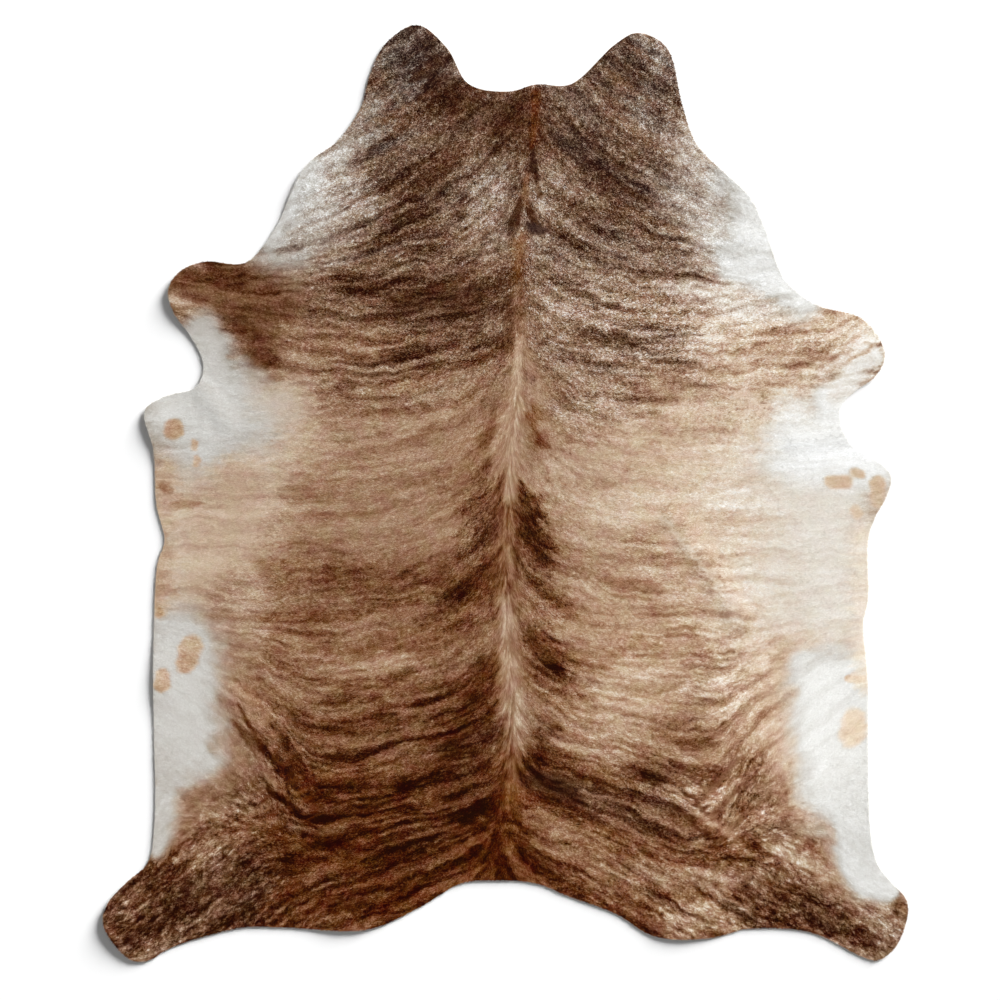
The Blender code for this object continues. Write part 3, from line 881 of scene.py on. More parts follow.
# %% rump and hind legs
RUMP_MARKS = (
    ("left rump, upper", -0.400, -0.527, 0.082, -0.149, -0.516, 0.091, 0.8, 1.0, 0.33, 0.85, 0.6),
    ("left flank, pale", -0.559, -0.443, 0.055, -0.454, -0.470, 0.046, 0.9, 0.8, 0.4, 0.8, 0.5),
    ("left rump", -0.468, -0.709, 0.082, -0.126, -0.698, 0.100, 0.8, 1.0, 0.23, 0.85, 0.75),
    ("left rump, outer", -0.582, -0.607, 0.050, -0.593, -0.766, 0.050, 0.9, 0.7, 0.44, 0.9, 0.4),
    ("left rim", -0.641, -0.447, 0.020, -0.636, -0.607, 0.023, 0.9, 0.4, 0.6, 0.7, 0.2),
    ("left rim, lower", -0.664, -0.661, 0.036, -0.728, -0.771, 0.023, 0.9, 0.4, 0.58, 0.8, 0.2),
    ("left rump, lower", -0.468, -0.880, 0.114, -0.172, -0.880, 0.114, 0.7, 1.0, 0.19, 0.85, 0.8),
    ("left rump, paler", -0.431, -0.876, 0.027, -0.365, -0.885, 0.027, 0.9, 1.0, 0.3, 0.9, 0.6),
    ("left rump, dark", -0.427, -0.739, 0.018, -0.304, -0.725, 0.018, 0.9, 1.0, 0.13, 0.7, 0.7),
    ("left rump, dark, lower", -0.418, -0.784, 0.020, -0.350, -0.794, 0.020, 0.9, 1.0, 0.13, 0.7, 0.7),
    ("left rump, dark, edge", -0.400, -0.935, 0.020, -0.318, -0.930, 0.020, 0.9, 1.0, 0.13, 0.7, 0.7),
    ("left rump, paler, inner", -0.541, -0.771, 0.025, -0.486, -0.762, 0.025, 0.9, 1.0, 0.34, 0.9, 0.5),
    ("right flank, lower", 0.500, -0.429, 0.073, 0.589, -0.550, 0.059, 0.8, 0.6, 0.68, 0.8, 0.3),
    ("right flank, tan", 0.534, -0.520, 0.025, 0.570, -0.543, 0.023, 0.9, 0.8, 0.55, 0.8, 0.3),
    ("right rump, upper", 0.388, -0.589, 0.041, 0.500, -0.573, 0.046, 0.8, 1.0, 0.53, 0.8, 0.4),
    ("right rump, above the band", 0.138, -0.557, 0.032, 0.324, -0.575, 0.027, 0.9, 1.0, 0.61, 0.8, 0.5),
    ("right rump, pale, inner", 0.192, -0.595, 0.016, 0.265, -0.614, 0.016, 0.9, 1.0, 0.57, 0.8, 0.4),
    ("right rump, dark", 0.306, -0.657, 0.036, 0.443, -0.698, 0.032, 0.9, 1.0, 0.37, 1.1, 0.3),
    ("right rump, dark blot", 0.293, -0.639, 0.014, 0.347, -0.643, 0.014, 0.9, 1.0, 0.18, 0.8, 0.2),
    ("right rump, dark by the folds", 0.568, -0.762, 0.023, 0.636, -0.784, 0.018, 0.9, 1.0, 0.28, 0.9, 0.3),
    ("right rump, pale patch", 0.420, -0.675, 0.032, 0.470, -0.698, 0.027, 0.9, 1.0, 0.62, 1.0, 0.4),
    ("right rump, pale", 0.074, -0.784, 0.055, 0.192, -0.825, 0.059, 0.9, 1.0, 0.48, 0.9, 0.6),
    ("right rump, pale, outer", 0.283, -0.853, 0.046, 0.340, -0.891, 0.036, 0.9, 1.0, 0.46, 1.0, 0.5),
    ("right rump, edge", 0.379, -0.964, 0.030, 0.511, -0.976, 0.036, 0.9, 1.0, 0.6, 1.0, 0.5),
    ("right rump, outer", 0.575, -0.671, 0.050, 0.625, -0.734, 0.050, 0.8, 0.8, 0.36, 1.0, 0.3),
    ("right rump, tan by the folds", 0.516, -0.625, 0.018, 0.527, -0.803, 0.020, 0.9, 1.0, 0.5, 0.9, 0.3),
    ("right rump, above the leg", 0.434, -0.876, 0.027, 0.671, -0.866, 0.023, 0.9, 1.0, 0.46, 0.9, 0.3),
    ("right leg, top", 0.625, -0.812, 0.025, 0.743, -0.864, 0.025, 0.8, 0.6, 0.62, 0.8, 0.3),
    ("right rim", 0.607, -0.447, 0.023, 0.620, -0.625, 0.030, 0.9, 0.5, 0.62, 0.7, 0.2),
    ("right rim, lower", 0.602, -0.680, 0.034, 0.666, -0.762, 0.025, 0.9, 0.6, 0.32, 0.8, 0.2),
    ("left hind leg", -0.878, -0.983, 0.091, -0.627, -0.903, 0.091, 0.7, 1.0, 0.17, 0.95, 0.2),
    ("left hind leg, pale top", -0.705, -0.807, 0.046, -0.655, -0.702, 0.046, 0.9, 1.0, 0.52, 0.9, 0.2),
    ("left hind leg, tip", -0.846, -1.035, 0.027, -0.791, -1.044, 0.023, 0.9, 1.0, 0.34, 1.0, 0.1),
    ("right hind leg", 0.561, -0.942, 0.050, 0.784, -0.987, 0.050, 0.7, 1.0, 0.2, 1.0, 0.3),
    ("right hind leg, pale", 0.684, -0.894, 0.018, 0.734, -0.914, 0.018, 0.9, 1.0, 0.44, 1.0, 0.3),
    ("right hind leg, tip", 0.825, -0.930, 0.041, 0.871, -0.967, 0.036, 0.9, 1.0, 0.61, 1.0, 0.2),
    ("right hind leg, tip, dark", 0.896, -0.926, 0.014, 0.905, -0.953, 0.014, 0.9, 1.0, 0.38, 0.8, 0.3),
    ("tail", -0.058, -0.778, 0.068, 0.033, -0.880, 0.068, 0.8, 1.0, 0.22, 0.7, 0.9),
)
print(len(RUMP_MARKS), "marks: rump and hind legs")

# %% [markdown]
# A strip of long hair runs down the backbone. It is rust brown, then black at a knot of hair over
# the shoulders, then pale, and rust again at the tail. Dark hooks and bands lie beside it.

# %% along the backbone
SPINE_MARKS = (
    ("left of the spine, shoulders", -0.035, 0.222, 0.032, -0.001, 0.222, 0.023, 0.9, 0.8, 0.48, 0.7, 0.3),
    ("right of the spine, pale", 0.049, 0.322, 0.011, 0.065, 0.222, 0.018, 0.9, 0.8, 0.6, 0.6, 0.4),
    ("spine, dark knot", 0.035, 0.668, 0.007, 0.017, 0.605, 0.011, 0.6, 0.3, 0.07, 0.6, 0.1),
    ("spine, dark fork", 0.044, 0.668, 0.005, 0.063, 0.618, 0.007, 0.6, 0.3, 0.08, 0.6, 0.1),
    ("spine, dark, right", 0.054, 0.855, 0.005, 0.058, 0.778, 0.006, 0.7, 0.3, 0.12, 0.7, 0.2),
    ("spine, pale strand", 0.079, 0.714, 0.005, 0.085, 0.636, 0.007, 0.8, 0.3, 0.58, 0.9, -0.2),
    ("spine, pinkish strand", 0.049, 0.718, 0.008, 0.044, 0.668, 0.008, 0.8, 0.3, 0.4, 0.8, 0.5),
    ("spine, dark, knot's right", 0.072, 0.718, 0.004, 0.079, 0.668, 0.004, 0.8, 0.3, 0.16, 0.6, 0.1),
    ("spine, dark, shoulder", 0.008, 0.441, 0.010, 0.003, 0.327, 0.011, 0.9, 0.7, 0.22, 0.7, 0.2),
    ("hook, left", -0.028, 0.156, 0.011, -0.076, 0.076, 0.016, 0.9, 0.7, 0.27, 0.6, 0.6),
    ("by the hook", -0.058, 0.054, 0.032, -0.138, 0.031, 0.041, 0.9, 1.0, 0.46, 0.6, 0.5),
    ("by the hook, pale", -0.063, 0.202, 0.018, -0.049, 0.167, 0.018, 0.9, 0.9, 0.58, 0.6, 0.4),
    ("by the hook, pale, lower", -0.063, 0.063, 0.018, -0.049, 0.031, 0.018, 0.9, 0.9, 0.52, 0.6, 0.5),
    ("hook, right", 0.054, 0.202, 0.011, 0.069, 0.122, 0.016, 0.9, 0.7, 0.36, 0.7, 0.8),
    ("right of the spine", 0.049, -0.015, 0.020, 0.115, -0.436, 0.055, 0.9, 1.0, 0.39, 0.95, 0.7),
    ("right loin, tan", 0.142, -0.334, 0.030, 0.192, -0.393, 0.030, 0.9, 1.0, 0.57, 0.7, 0.5),
    ("right of the spine, dark", 0.054, -0.015, 0.018, 0.072, -0.147, 0.027, 0.9, 1.0, 0.18, 0.8, 0.6),
    ("right of the spine, lower", 0.051, -0.311, 0.014, 0.106, -0.384, 0.027, 0.9, 1.0, 0.18, 0.8, 0.6),
    ("left of the spine", -0.040, 0.008, 0.036, -0.058, -0.288, 0.064, 0.9, 1.0, 0.3, 0.9, 0.6),
    ("left of the spine, tan", -0.090, -0.106, 0.023, -0.081, -0.142, 0.023, 0.9, 1.0, 0.42, 0.9, 0.6),
    ("dark band, left", -0.040, -0.179, 0.027, -0.115, -0.224, 0.041, 0.9, 1.0, 0.19, 0.8, 0.5),
    ("left loin, tan by the spine", -0.183, -0.270, 0.023, -0.138, -0.286, 0.020, 0.9, 1.0, 0.44, 0.8, 0.6),
    ("left of the spine, loin", -0.081, -0.352, 0.036, -0.138, -0.368, 0.046, 0.9, 1.0, 0.36, 0.8, 0.6),
    ("dark band, left, lower", -0.044, -0.397, 0.036, -0.115, -0.618, 0.068, 0.9, 1.0, 0.15, 0.8, 0.6),
    ("dark band, right", 0.047, -0.639, 0.023, 0.206, -0.698, 0.032, 0.8, 0.9, 0.14, 0.6, -0.1),
    ("dark band, right, outer", 0.192, -0.691, 0.025, 0.443, -0.794, 0.027, 0.9, 0.8, 0.34, 1.0, 0.3),
    ("spine, rust, neck", 0.069, 0.919, 0.008, 0.063, 0.782, 0.007, 0.7, 0.4, 0.18, 0.8, 0.8),
    ("spine, knot", 0.065, 0.762, 0.010, 0.065, 0.730, 0.010, 0.6, 0.5, 0.08, 0.6, -0.2),
    ("spine, knot, lower", 0.058, 0.609, 0.011, 0.079, 0.602, 0.013, 0.7, 0.5, 0.1, 0.5, -0.4),
    ("spine, rust, shoulders", 0.035, 0.582, 0.014, 0.026, 0.491, 0.014, 0.8, 0.4, 0.27, 0.8, 0.8),
    ("spine, mauve", 0.031, 0.463, 0.010, 0.033, 0.361, 0.014, 0.8, 0.3, 0.4, 0.7, 0.3),
    ("spine, pale, shoulders", 0.033, 0.354, 0.009, 0.017, 0.145, 0.018, 0.8, 0.3, 0.63, 0.6, 0.4),
    ("spine, pinkish", 0.017, 0.145, 0.018, 0.010, -0.006, 0.014, 0.8, 0.2, 0.62, 0.5, 0.4),
    ("spine, rust, loin", 0.008, -0.049, 0.014, 0.001, -0.202, 0.014, 0.8, 0.3, 0.37, 0.8, 0.7),
    ("spine, dark edge", 0.026, -0.101, 0.008, 0.024, -0.183, 0.008, 0.9, 0.6, 0.2, 0.7, 0.6),
    ("spine, pale, loin", 0.001, -0.247, 0.014, 0.013, -0.470, 0.025, 0.8, 0.2, 0.58, 0.6, 0.35),
    ("spine, pale, rump", 0.017, -0.470, 0.025, 0.040, -0.561, 0.027, 0.8, 0.3, 0.6, 0.8, 0.35),
    ("spine, pale, end", 0.017, -0.579, 0.014, 0.013, -0.680, 0.010, 0.8, 0.3, 0.34, 0.7, 0.6),
    ("spine, rust, tail", 0.019, -0.675, 0.018, 0.006, -0.812, 0.018, 0.9, 0.6, 0.34, 0.8, 1.0),
)
print(len(SPINE_MARKS), "marks: along the backbone")

# %% [markdown]
# The neck's sides, the armpits and the belly are white. Brown hairs grow into the white singly, so
# a wide, faint mark that is half brown lies under each white one. The left side's whites are set
# greyer than the right side's: partly greyer hair, and partly painted shade for less light there.

# %% the white sides
WHITE_MARKS = (
    # the left side's whites, set greyer: partly greyer hair, partly painted shade
    ("left neck side", -0.452, 0.723, 0.055, -0.507, 0.593, 0.082, 0.9, 0.2, 0.84, 0.2, -1.4),
    ("left neck side, inner", -0.429, 0.655, 0.032, -0.450, 0.605, 0.032, 0.95, 0.4, 0.8, 0.4, -1.0),
    ("left neck side, fading", -0.372, 0.787, 0.036, -0.413, 0.641, 0.055, 0.95, 0.5, 0.76, 0.8, -0.7),
    ("left neck, pale speckle", -0.370, 0.696, 0.041, -0.313, 0.655, 0.036, 0.95, 0.8, 0.57, 1.0, -0.4),
    ("left neck side, lower", -0.486, 0.570, 0.032, -0.427, 0.586, 0.027, 0.95, 0.5, 0.6, 0.8, -0.6),
    ("left neck side, lowest", -0.404, 0.527, 0.027, -0.354, 0.568, 0.032, 0.95, 0.6, 0.52, 0.9, -0.2),
    ("left armpit", -0.691, 0.359, 0.048, -0.652, 0.213, 0.096, 0.6, 0.1, 0.77, 0.12, -1.4),
    ("left armpit, fading", -0.502, 0.202, 0.055, -0.582, 0.186, 0.068, 0.95, 0.2, 0.74, 0.2, -0.3),
    ("left belly, upper", -0.730, 0.217, 0.105, -0.668, 0.099, 0.118, 0.9, 0.2, 0.83, 0.14, -1.4),
    ("left belly, middle", -0.753, -0.026, 0.100, -0.768, -0.265, 0.105, 0.9, 0.2, 0.77, 0.25, -0.4),
    ("left belly, fading", -0.605, 0.035, 0.059, -0.586, -0.106, 0.055, 0.95, 0.4, 0.7, 0.3, 0.2),
    ("left belly, fading, wide", -0.668, -0.060, 0.087, -0.668, -0.151, 0.082, 0.95, 0.3, 0.7, 0.25, 0.1),
    ("left belly, fading lower", -0.605, -0.220, 0.046, -0.609, -0.334, 0.050, 0.95, 0.6, 0.62, 0.6, 0.2),
    ("left belly, lower, fading", -0.684, -0.368, 0.100, -0.668, -0.570, 0.100, 0.7, 0.3, 0.51, 0.45, 0.2),
    ("left belly, lowest, fading", -0.705, -0.630, 0.077, -0.759, -0.771, 0.041, 0.7, 0.3, 0.5, 0.4, 0.3),
    ("left belly, lower", -0.741, -0.361, 0.091, -0.739, -0.566, 0.093, 0.5, 0.1, 0.81, 0.1, -1.2),
    ("left belly, lowest", -0.773, -0.625, 0.064, -0.794, -0.807, 0.025, 0.6, 0.1, 0.77, 0.15, -1.0),
    ("right neck side", 0.539, 0.782, 0.050, 0.575, 0.589, 0.091, 0.9, 0.2, 0.9, 0.2, -1.4),
    ("right neck side, lower", 0.552, 0.527, 0.055, 0.671, 0.441, 0.046, 0.9, 0.2, 0.91, 0.15, -1.4),
    ("right foreleg, pale band", 0.393, 0.472, 0.020, 0.557, 0.427, 0.034, 0.95, 0.8, 0.79, 0.7, -0.3),
    ("right armpit, fading", 0.659, 0.190, 0.041, 0.671, 0.094, 0.082, 0.95, 0.4, 0.93, 0.25, -0.6),
    ("right armpit", 0.755, 0.204, 0.050, 0.789, 0.099, 0.100, 0.5, 0.1, 0.95, 0.05, -1.4),
    ("right foreleg, underside", 0.757, 0.236, 0.034, 0.839, 0.318, 0.023, 0.7, 0.3, 0.9, 0.25, -0.5),
    ("right foreleg, pale inner", 0.716, 0.272, 0.020, 0.762, 0.304, 0.018, 0.9, 0.5, 0.8, 0.5, -0.2),
    ("right foreleg, tip's line", 0.780, 0.302, 0.004, 0.839, 0.336, 0.004, 0.9, 0.3, 0.62, 0.5, 0.3),
    ("right belly, fading", 0.568, 0.031, 0.123, 0.579, -0.243, 0.109, 0.95, 0.5, 0.79, 0.45, 0.0),
    ("right belly", 0.728, 0.031, 0.141, 0.734, -0.283, 0.137, 0.9, 0.2, 0.84, 0.15, -0.5),
    ("right belly, top", 0.671, 0.099, 0.059, 0.821, 0.085, 0.055, 0.9, 0.2, 0.94, 0.1, -1.2),
    ("right belly, lower, fading", 0.707, -0.447, 0.109, 0.712, -0.611, 0.109, 0.7, 0.3, 0.66, 0.35, 0.3),
    ("right belly, lowest, fading", 0.743, -0.702, 0.082, 0.798, -0.862, 0.068, 0.7, 0.3, 0.6, 0.45, 0.3),
    ("right belly, lower", 0.748, -0.457, 0.107, 0.766, -0.611, 0.105, 0.5, 0.1, 0.88, 0.08, -1.4),
    ("right belly, lowest", 0.787, -0.698, 0.100, 0.825, -0.862, 0.059, 0.5, 0.1, 0.87, 0.1, -1.4),
    ("right belly, last corner", 0.830, -0.862, 0.041, 0.880, -0.907, 0.020, 0.5, 0.1, 0.88, 0.12, -1.4),
    ("right belly edge", 0.825, -0.106, 0.032, 0.821, -0.425, 0.027, 0.9, 0.5, 0.85, 0.15, 0.05),
    ("left belly edge", -0.782, 0.054, 0.027, -0.782, -0.083, 0.027, 0.9, 0.5, 0.69, 0.3, 0.2),
    ("left belly edge, lower", -0.787, -0.142, 0.027, -0.787, -0.243, 0.027, 0.9, 0.5, 0.64, 0.35, 0.4),
    ("left belly, brown spot", -0.780, 0.015, 0.011, -0.771, 0.010, 0.011, 0.7, 0.3, 0.5, 0.4, 0.5),
    ("left belly, tan smudge", -0.755, -0.022, 0.011, -0.700, -0.026, 0.011, 0.9, 0.6, 0.62, 0.4, 0.5),
)
print(len(WHITE_MARKS), "marks: the white sides")

# %% [markdown]
# The skin of the flanks lies in folds. Thin dark lines along them are painted shade in the folds,
# and pale lines along them are painted highlight on their ridges.

# %% creases in the flanks
CREASE_MARKS = (
    # dark lines: painted shade in the folds; pale lines: painted highlight on their ridges
    ("left flank, dark line", -0.609, -0.479, 0.004, -0.554, -0.577, 0.006, 0.8, 0.1, 0.22, 0.5, 0.5),
    ("left flank, dark, lower", -0.554, -0.577, 0.006, -0.486, -0.643, 0.005, 0.8, 0.1, 0.17, 0.5, 0.5),
    ("left flank, second line", -0.541, -0.675, 0.006, -0.468, -0.725, 0.006, 0.8, 0.1, 0.1, 0.5, 0.5),
    ("left flank, pale line", -0.618, -0.516, 0.006, -0.532, -0.652, 0.007, 0.9, 0.1, 0.42, 0.6, 0.4),
    ("right flank, dark line", 0.388, -0.712, 0.006, 0.477, -0.800, 0.008, 0.8, 0.4, 0.17, 0.5, 0.3),
    ("right flank, dark line, outer", 0.477, -0.800, 0.008, 0.561, -0.712, 0.006, 0.8, 0.4, 0.34, 0.5, 0.3),
    ("right flank, second line", 0.397, -0.666, 0.005, 0.470, -0.739, 0.007, 0.8, 0.4, 0.17, 0.5, 0.3),
    ("right flank, second, outer", 0.470, -0.739, 0.007, 0.548, -0.652, 0.005, 0.8, 0.4, 0.34, 0.5, 0.3),
    ("right flank, third line", 0.388, -0.616, 0.005, 0.461, -0.682, 0.006, 0.8, 0.4, 0.29, 0.5, 0.3),
    ("right flank, third, outer", 0.461, -0.682, 0.006, 0.525, -0.611, 0.005, 0.8, 0.4, 0.33, 0.5, 0.3),
    ("right flank, pale line", 0.429, -0.725, 0.007, 0.511, -0.775, 0.007, 0.9, 0.2, 0.56, 0.6, 0.4),
)
print(len(CREASE_MARKS), "marks: creases in the flanks")

# %% [markdown]
# Tan spots are scattered over the white.

# %% spots on the belly
SPOT_MARKS = (
    ("spot", -0.755, 0.145, 0.020, -0.750, 0.147, 0.020, 0.35, 0.1, 0.62, 0.4, 0.6),
    ("spot", -0.707, 0.115, 0.009, -0.707, 0.106, 0.009, 0.5, 0.1, 0.7, 0.3, 0.5),
    ("spot", -0.702, 0.081, 0.007, -0.702, 0.067, 0.007, 0.6, 0.1, 0.7, 0.3, 0.6),
    ("spot", -0.718, -0.352, 0.027, -0.723, -0.384, 0.023, 0.4, 0.1, 0.63, 0.5, 0.6),
    ("spot", -0.780, -0.413, 0.014, -0.782, -0.434, 0.016, 0.5, 0.1, 0.68, 0.4, 0.6),
    ("spot", -0.787, -0.265, 0.009, -0.789, -0.272, 0.009, 0.5, 0.1, 0.62, 0.4, 0.8),
    ("spot", 0.743, 0.026, 0.014, 0.775, 0.026, 0.014, 0.4, 0.1, 0.74, 0.2, 0.6),
    ("spot", 0.796, 0.047, 0.011, 0.809, 0.044, 0.009, 0.5, 0.1, 0.76, 0.2, 0.5),
    ("spot", 0.846, 0.022, 0.016, 0.844, -0.015, 0.016, 0.4, 0.1, 0.74, 0.2, 0.6),
    ("spot", 0.796, -0.038, 0.011, 0.800, -0.047, 0.011, 0.5, 0.1, 0.77, 0.2, 0.6),
    ("spot", 0.782, -0.422, 0.009, 0.812, -0.422, 0.009, 0.4, 0.1, 0.76, 0.3, 0.8),
    ("spot", 0.791, -0.511, 0.025, 0.789, -0.543, 0.030, 0.5, 0.1, 0.8, 0.2, 0.6),
)
print(len(SPOT_MARKS), "marks: spots on the belly")
# %% painting the marks
TINY = 1e-9
FULLY_RAGGED = 0.08   # the reach from which an outline is as ragged as it gets
SPECKLE = 0.18
GROUND = (0.45, 0.80, 0.0)   # lightness, contrast and warmth under all marks
WARMTH_SPREAD = 0.10
WARMTH_CELL = 0.014
WARMTH_ROUNDS = 6
MARKS = (BROAD_MARKS + NECK_MARKS + SHOULDER_MARKS + BARREL_MARKS + RUMP_MARKS
         + SPINE_MARKS + WHITE_MARKS + CREASE_MARKS + SPOT_MARKS)


def mark_cover(x0, y0, reach0, x1, y1, reach1, softness, drawn_out):
    """How far a mark covers each place, 0 to 1.

    Each place first moves along the hair by the drawn-out map's length there. Its distance to the
    line between the mark's ends, with the ragged shift, is divided by the reach there, which
    gives 1 on the outline. The cover eases from 1 to 0 as that ratio goes from 1 - softness to
    1 + softness. Where it is between the two, speckle is added, by the share drawn out and by
    4 * cover * (1 - cover), which is 1 halfway.
    """
    x, y = map_x + drawn_out * drawn_map * growth_x, map_y + drawn_out * drawn_map * growth_y
    run_x, run_y = x1 - x0, y1 - y0
    share = ((x - x0) * run_x + (y - y0) * run_y) / (run_x**2 + run_y**2 + TINY)
    share = np.clip(share, 0, 1)
    reach = reach0 + (reach1 - reach0) * share
    distance = np.hypot(x - x0 - share * run_x, y - y0 - share * run_y)
    distance = distance + ragged_map * np.clip(reach / FULLY_RAGGED, 0, 1)
    t = np.clip((1 + softness - distance / reach) / (2 * softness), 0, 1)
    cover = t * t * (3 - 2 * t)
    speckle = SPECKLE * drawn_out * speckle_map
    return np.clip(cover + speckle * 4 * cover * (1 - cover), 0, 1)


def coat_maps():
    """Lightness, contrast and warmth over the hide: every mark painted over the ones before it."""
    maps = [np.full_like(map_x, start) for start in GROUND]
    for _, *form, tone, contrast, warmth in MARKS:
        cover = mark_cover(*form)
        values = (tone, contrast, warmth)
        maps = [under + cover * (value - under) for under, value in zip(maps, values)]
    return maps


tone_map, contrast_map, warmth_map = coat_maps()
tone_map = tone_map + contrast_map * streak_map
warmth_map = warmth_map + WARMTH_SPREAD * contrast_map * streaks(WARMTH_CELL, WARMTH_ROUNDS)
print(f"{len(MARKS)} marks, mean lightness {tone_map.mean():.2f}")

# %% [markdown]
# ## The coat
#
# A cattle coat is short and lies nearly flat, so that only the last half centimetre of a hair
# shows, and twice that along the backbone. Blender's hair curves would be the usual way, but a
# part is passed on as plain meshes. So each small tuft of hair is one narrow triangle: its short
# side is rooted on the leather and its tip points down the coat, a little raised. Close to a
# million of them overlap like thatch. All are worked out together, as arrays, and joined into
# five meshes, from neck to rump, with an even share each.
#
# The roots have to be spread evenly over an uneven grid. Every cell of the grid gets its part of
# a long line, as long as its area, and the roots stand on that line at equal distances. Within a
# cell, two sequences with steps that never repeat spread them in both directions.

# %% hair sizes
TUFTS_PER_PIECE = 178000
COAT_PIECES = ("coat_neck", "coat_shoulders", "coat_barrel", "coat_loin", "coat_rump")
TUFT_LENGTHS = (0.0045, 0.0050, 0.0062, 0.0060, 0.0055)   # at the places down the hide
TUFT_WIDTH = 0.0021
SIZES_VARY = (0.7, 1.3)   # the least and the most that a tuft's length and width are multiplied by
SPINE_LONGER = 1.3        # how much longer the hair is along the backbone, as a share
SPINE_TIDIER = 0.6        # and how much less its direction and lightness vary
ROOT_BURIED = 0.0003
TIP_RISE = (0.0008, 0.0022)
TUFT_ROLL = 0.35          # the most that a tuft leans to one side, as a slope
LIE_SPREADS = (0.60, 0.50, 0.35, 0.40, 0.45)  # how far the directions vary there, in radians
SHADE_SPREAD = 0.06       # how far the tufts' shading varies from the sheet's, as a slope
OVERHANG = (0.0005, 0.0030)
SHORTEST_CUT = 0.2        # the least of its length that a tuft keeps at the edge
EVEN_STEPS = (0.7548776662, 0.5698402910)  # their multiples, without whole parts, fill a square


def cell_areas():
    """The plan's area between each two neighbouring ribs and steps: half its diagonals' product."""
    ahead_x, ahead_y = np.roll(plan_x, -1, axis=0), np.roll(plan_y, -1, axis=0)
    first_x, first_y = ahead_x[:, 1:] - plan_x[:, :-1], ahead_y[:, 1:] - plan_y[:, :-1]
    second_x, second_y = plan_x[:, 1:] - ahead_x[:, :-1], plan_y[:, 1:] - ahead_y[:, :-1]
    return np.abs(first_x * second_y - first_y * second_x) / 2


def piece_ribs():
    """For each coat piece, the ribs of both sides that hold an even share of the hide's area."""
    area = areas.sum(axis=1)
    side_area = area[:RIBS_PER_SIDE] + area[:RIBS_PER_SIDE - 1:-1]
    share = np.cumsum(side_area) / side_area.sum()
    bounds = np.searchsorted(share, np.arange(len(COAT_PIECES) + 1) / len(COAT_PIECES))
    bounds[-1] = RIBS_PER_SIDE
    return [np.r_[start:end, 2 * RIBS_PER_SIDE - end:2 * RIBS_PER_SIDE - start]
            for start, end in zip(bounds, bounds[1:])]


areas = cell_areas()
ribs_of_piece = piece_ribs()

# %% roots
def between_ribs(grid, rib, step, across, along):
    """A grid's value inside the cell after a rib and a step, blended from its four corners."""
    ahead = (rib + 1) % (2 * RIBS_PER_SIDE)
    near = grid[rib, step] * (1 - along) + grid[rib, step + 1] * along
    far = grid[ahead, step] * (1 - along) + grid[ahead, step + 1] * along
    return near * (1 - across) + far * across


def spread_roots(ribs):
    """Where a piece's tufts grow: x, y, the nearest edge point's x and y, and the edge's outward way.

    The edge point is where the root's rib ends. The outward way is at right angles to the line
    from that rib's end to the next one's.
    """
    line = np.cumsum(areas[ribs])
    place = (np.arange(TUFTS_PER_PIECE) + 0.5) / TUFTS_PER_PIECE * line[-1]
    cell = np.searchsorted(line, place)
    rib, step = ribs[cell // STEPS_PER_RIB], cell % STEPS_PER_RIB
    across, along = (np.arange(TUFTS_PER_PIECE) * part % 1 for part in EVEN_STEPS)
    x, y = (between_ribs(grid, rib, step, across, along) for grid in (plan_x, plan_y))
    ahead = (rib + 1) % (2 * RIBS_PER_SIDE)
    run_x, run_y = plan_x[ahead, -1] - plan_x[rib, -1], plan_y[ahead, -1] - plan_y[rib, -1]
    run = np.hypot(run_x, run_y)
    edge_x, edge_y = plan_x[rib, -1] + across * run_x, plan_y[rib, -1] + across * run_y
    return x, y, edge_x, edge_y, -run_y / run, run_x / run


def tufts(ribs):
    """A piece's tufts: their three corners as points, and the place that gives each its colour.

    A tuft runs from its root along the hair, turned a little at random, for its length. Near the
    edge it is cut so that its tip passes the edge by no more than the overhang.
    """
    x, y, edge_x, edge_y, out_x, out_y = spread_roots(ribs)
    count = len(x)
    lie_x, lie_y = look_up(growth_x, x, y), look_up(growth_y, x, y)
    near_spine = look_up(spine_share, x, y)
    usual_length = down_the_hide(y, TUFT_LENGTHS)
    spread = down_the_hide(y, LIE_SPREADS) * (1 - SPINE_TIDIER * near_spine)
    turn = np.arctan2(lie_y, lie_x) + spread * random.standard_normal(count)
    lie_x, lie_y = np.cos(turn), np.sin(turn)
    length = usual_length * (1 + SPINE_LONGER * near_spine) * random.uniform(*SIZES_VARY, count)
    width = TUFT_WIDTH * random.uniform(*SIZES_VARY, count)
    beyond = (x - edge_x) * out_x + (y - edge_y) * out_y
    gain = length * (lie_x * out_x + lie_y * out_y)
    room = random.uniform(*OVERHANG, count) - beyond
    length = length * np.clip(room / np.maximum(gain, TINY), SHORTEST_CUT, 1) ** (gain > 0)
    tip_x, tip_y = x + lie_x * length, y + lie_y * length
    side_x, side_y = -lie_y * width / 2, lie_x * width / 2
    roll = random.uniform(-TUFT_ROLL, TUFT_ROLL, count) * width / 2
    root_z = lift_off_floor(x, y) + LEATHER_THICKNESS - ROOT_BURIED
    tip_z = lift_off_floor(tip_x, tip_y) + LEATHER_THICKNESS + random.uniform(*TIP_RISE, count)
    corners = np.stack([np.column_stack([x + side_x, y + side_y, root_z + roll]),
                        np.column_stack([x - side_x, y - side_y, root_z - roll]),
                        np.column_stack([tip_x, tip_y, tip_z])], axis=1)
    return corners, (x + tip_x) / 2, (y + tip_y) / 2
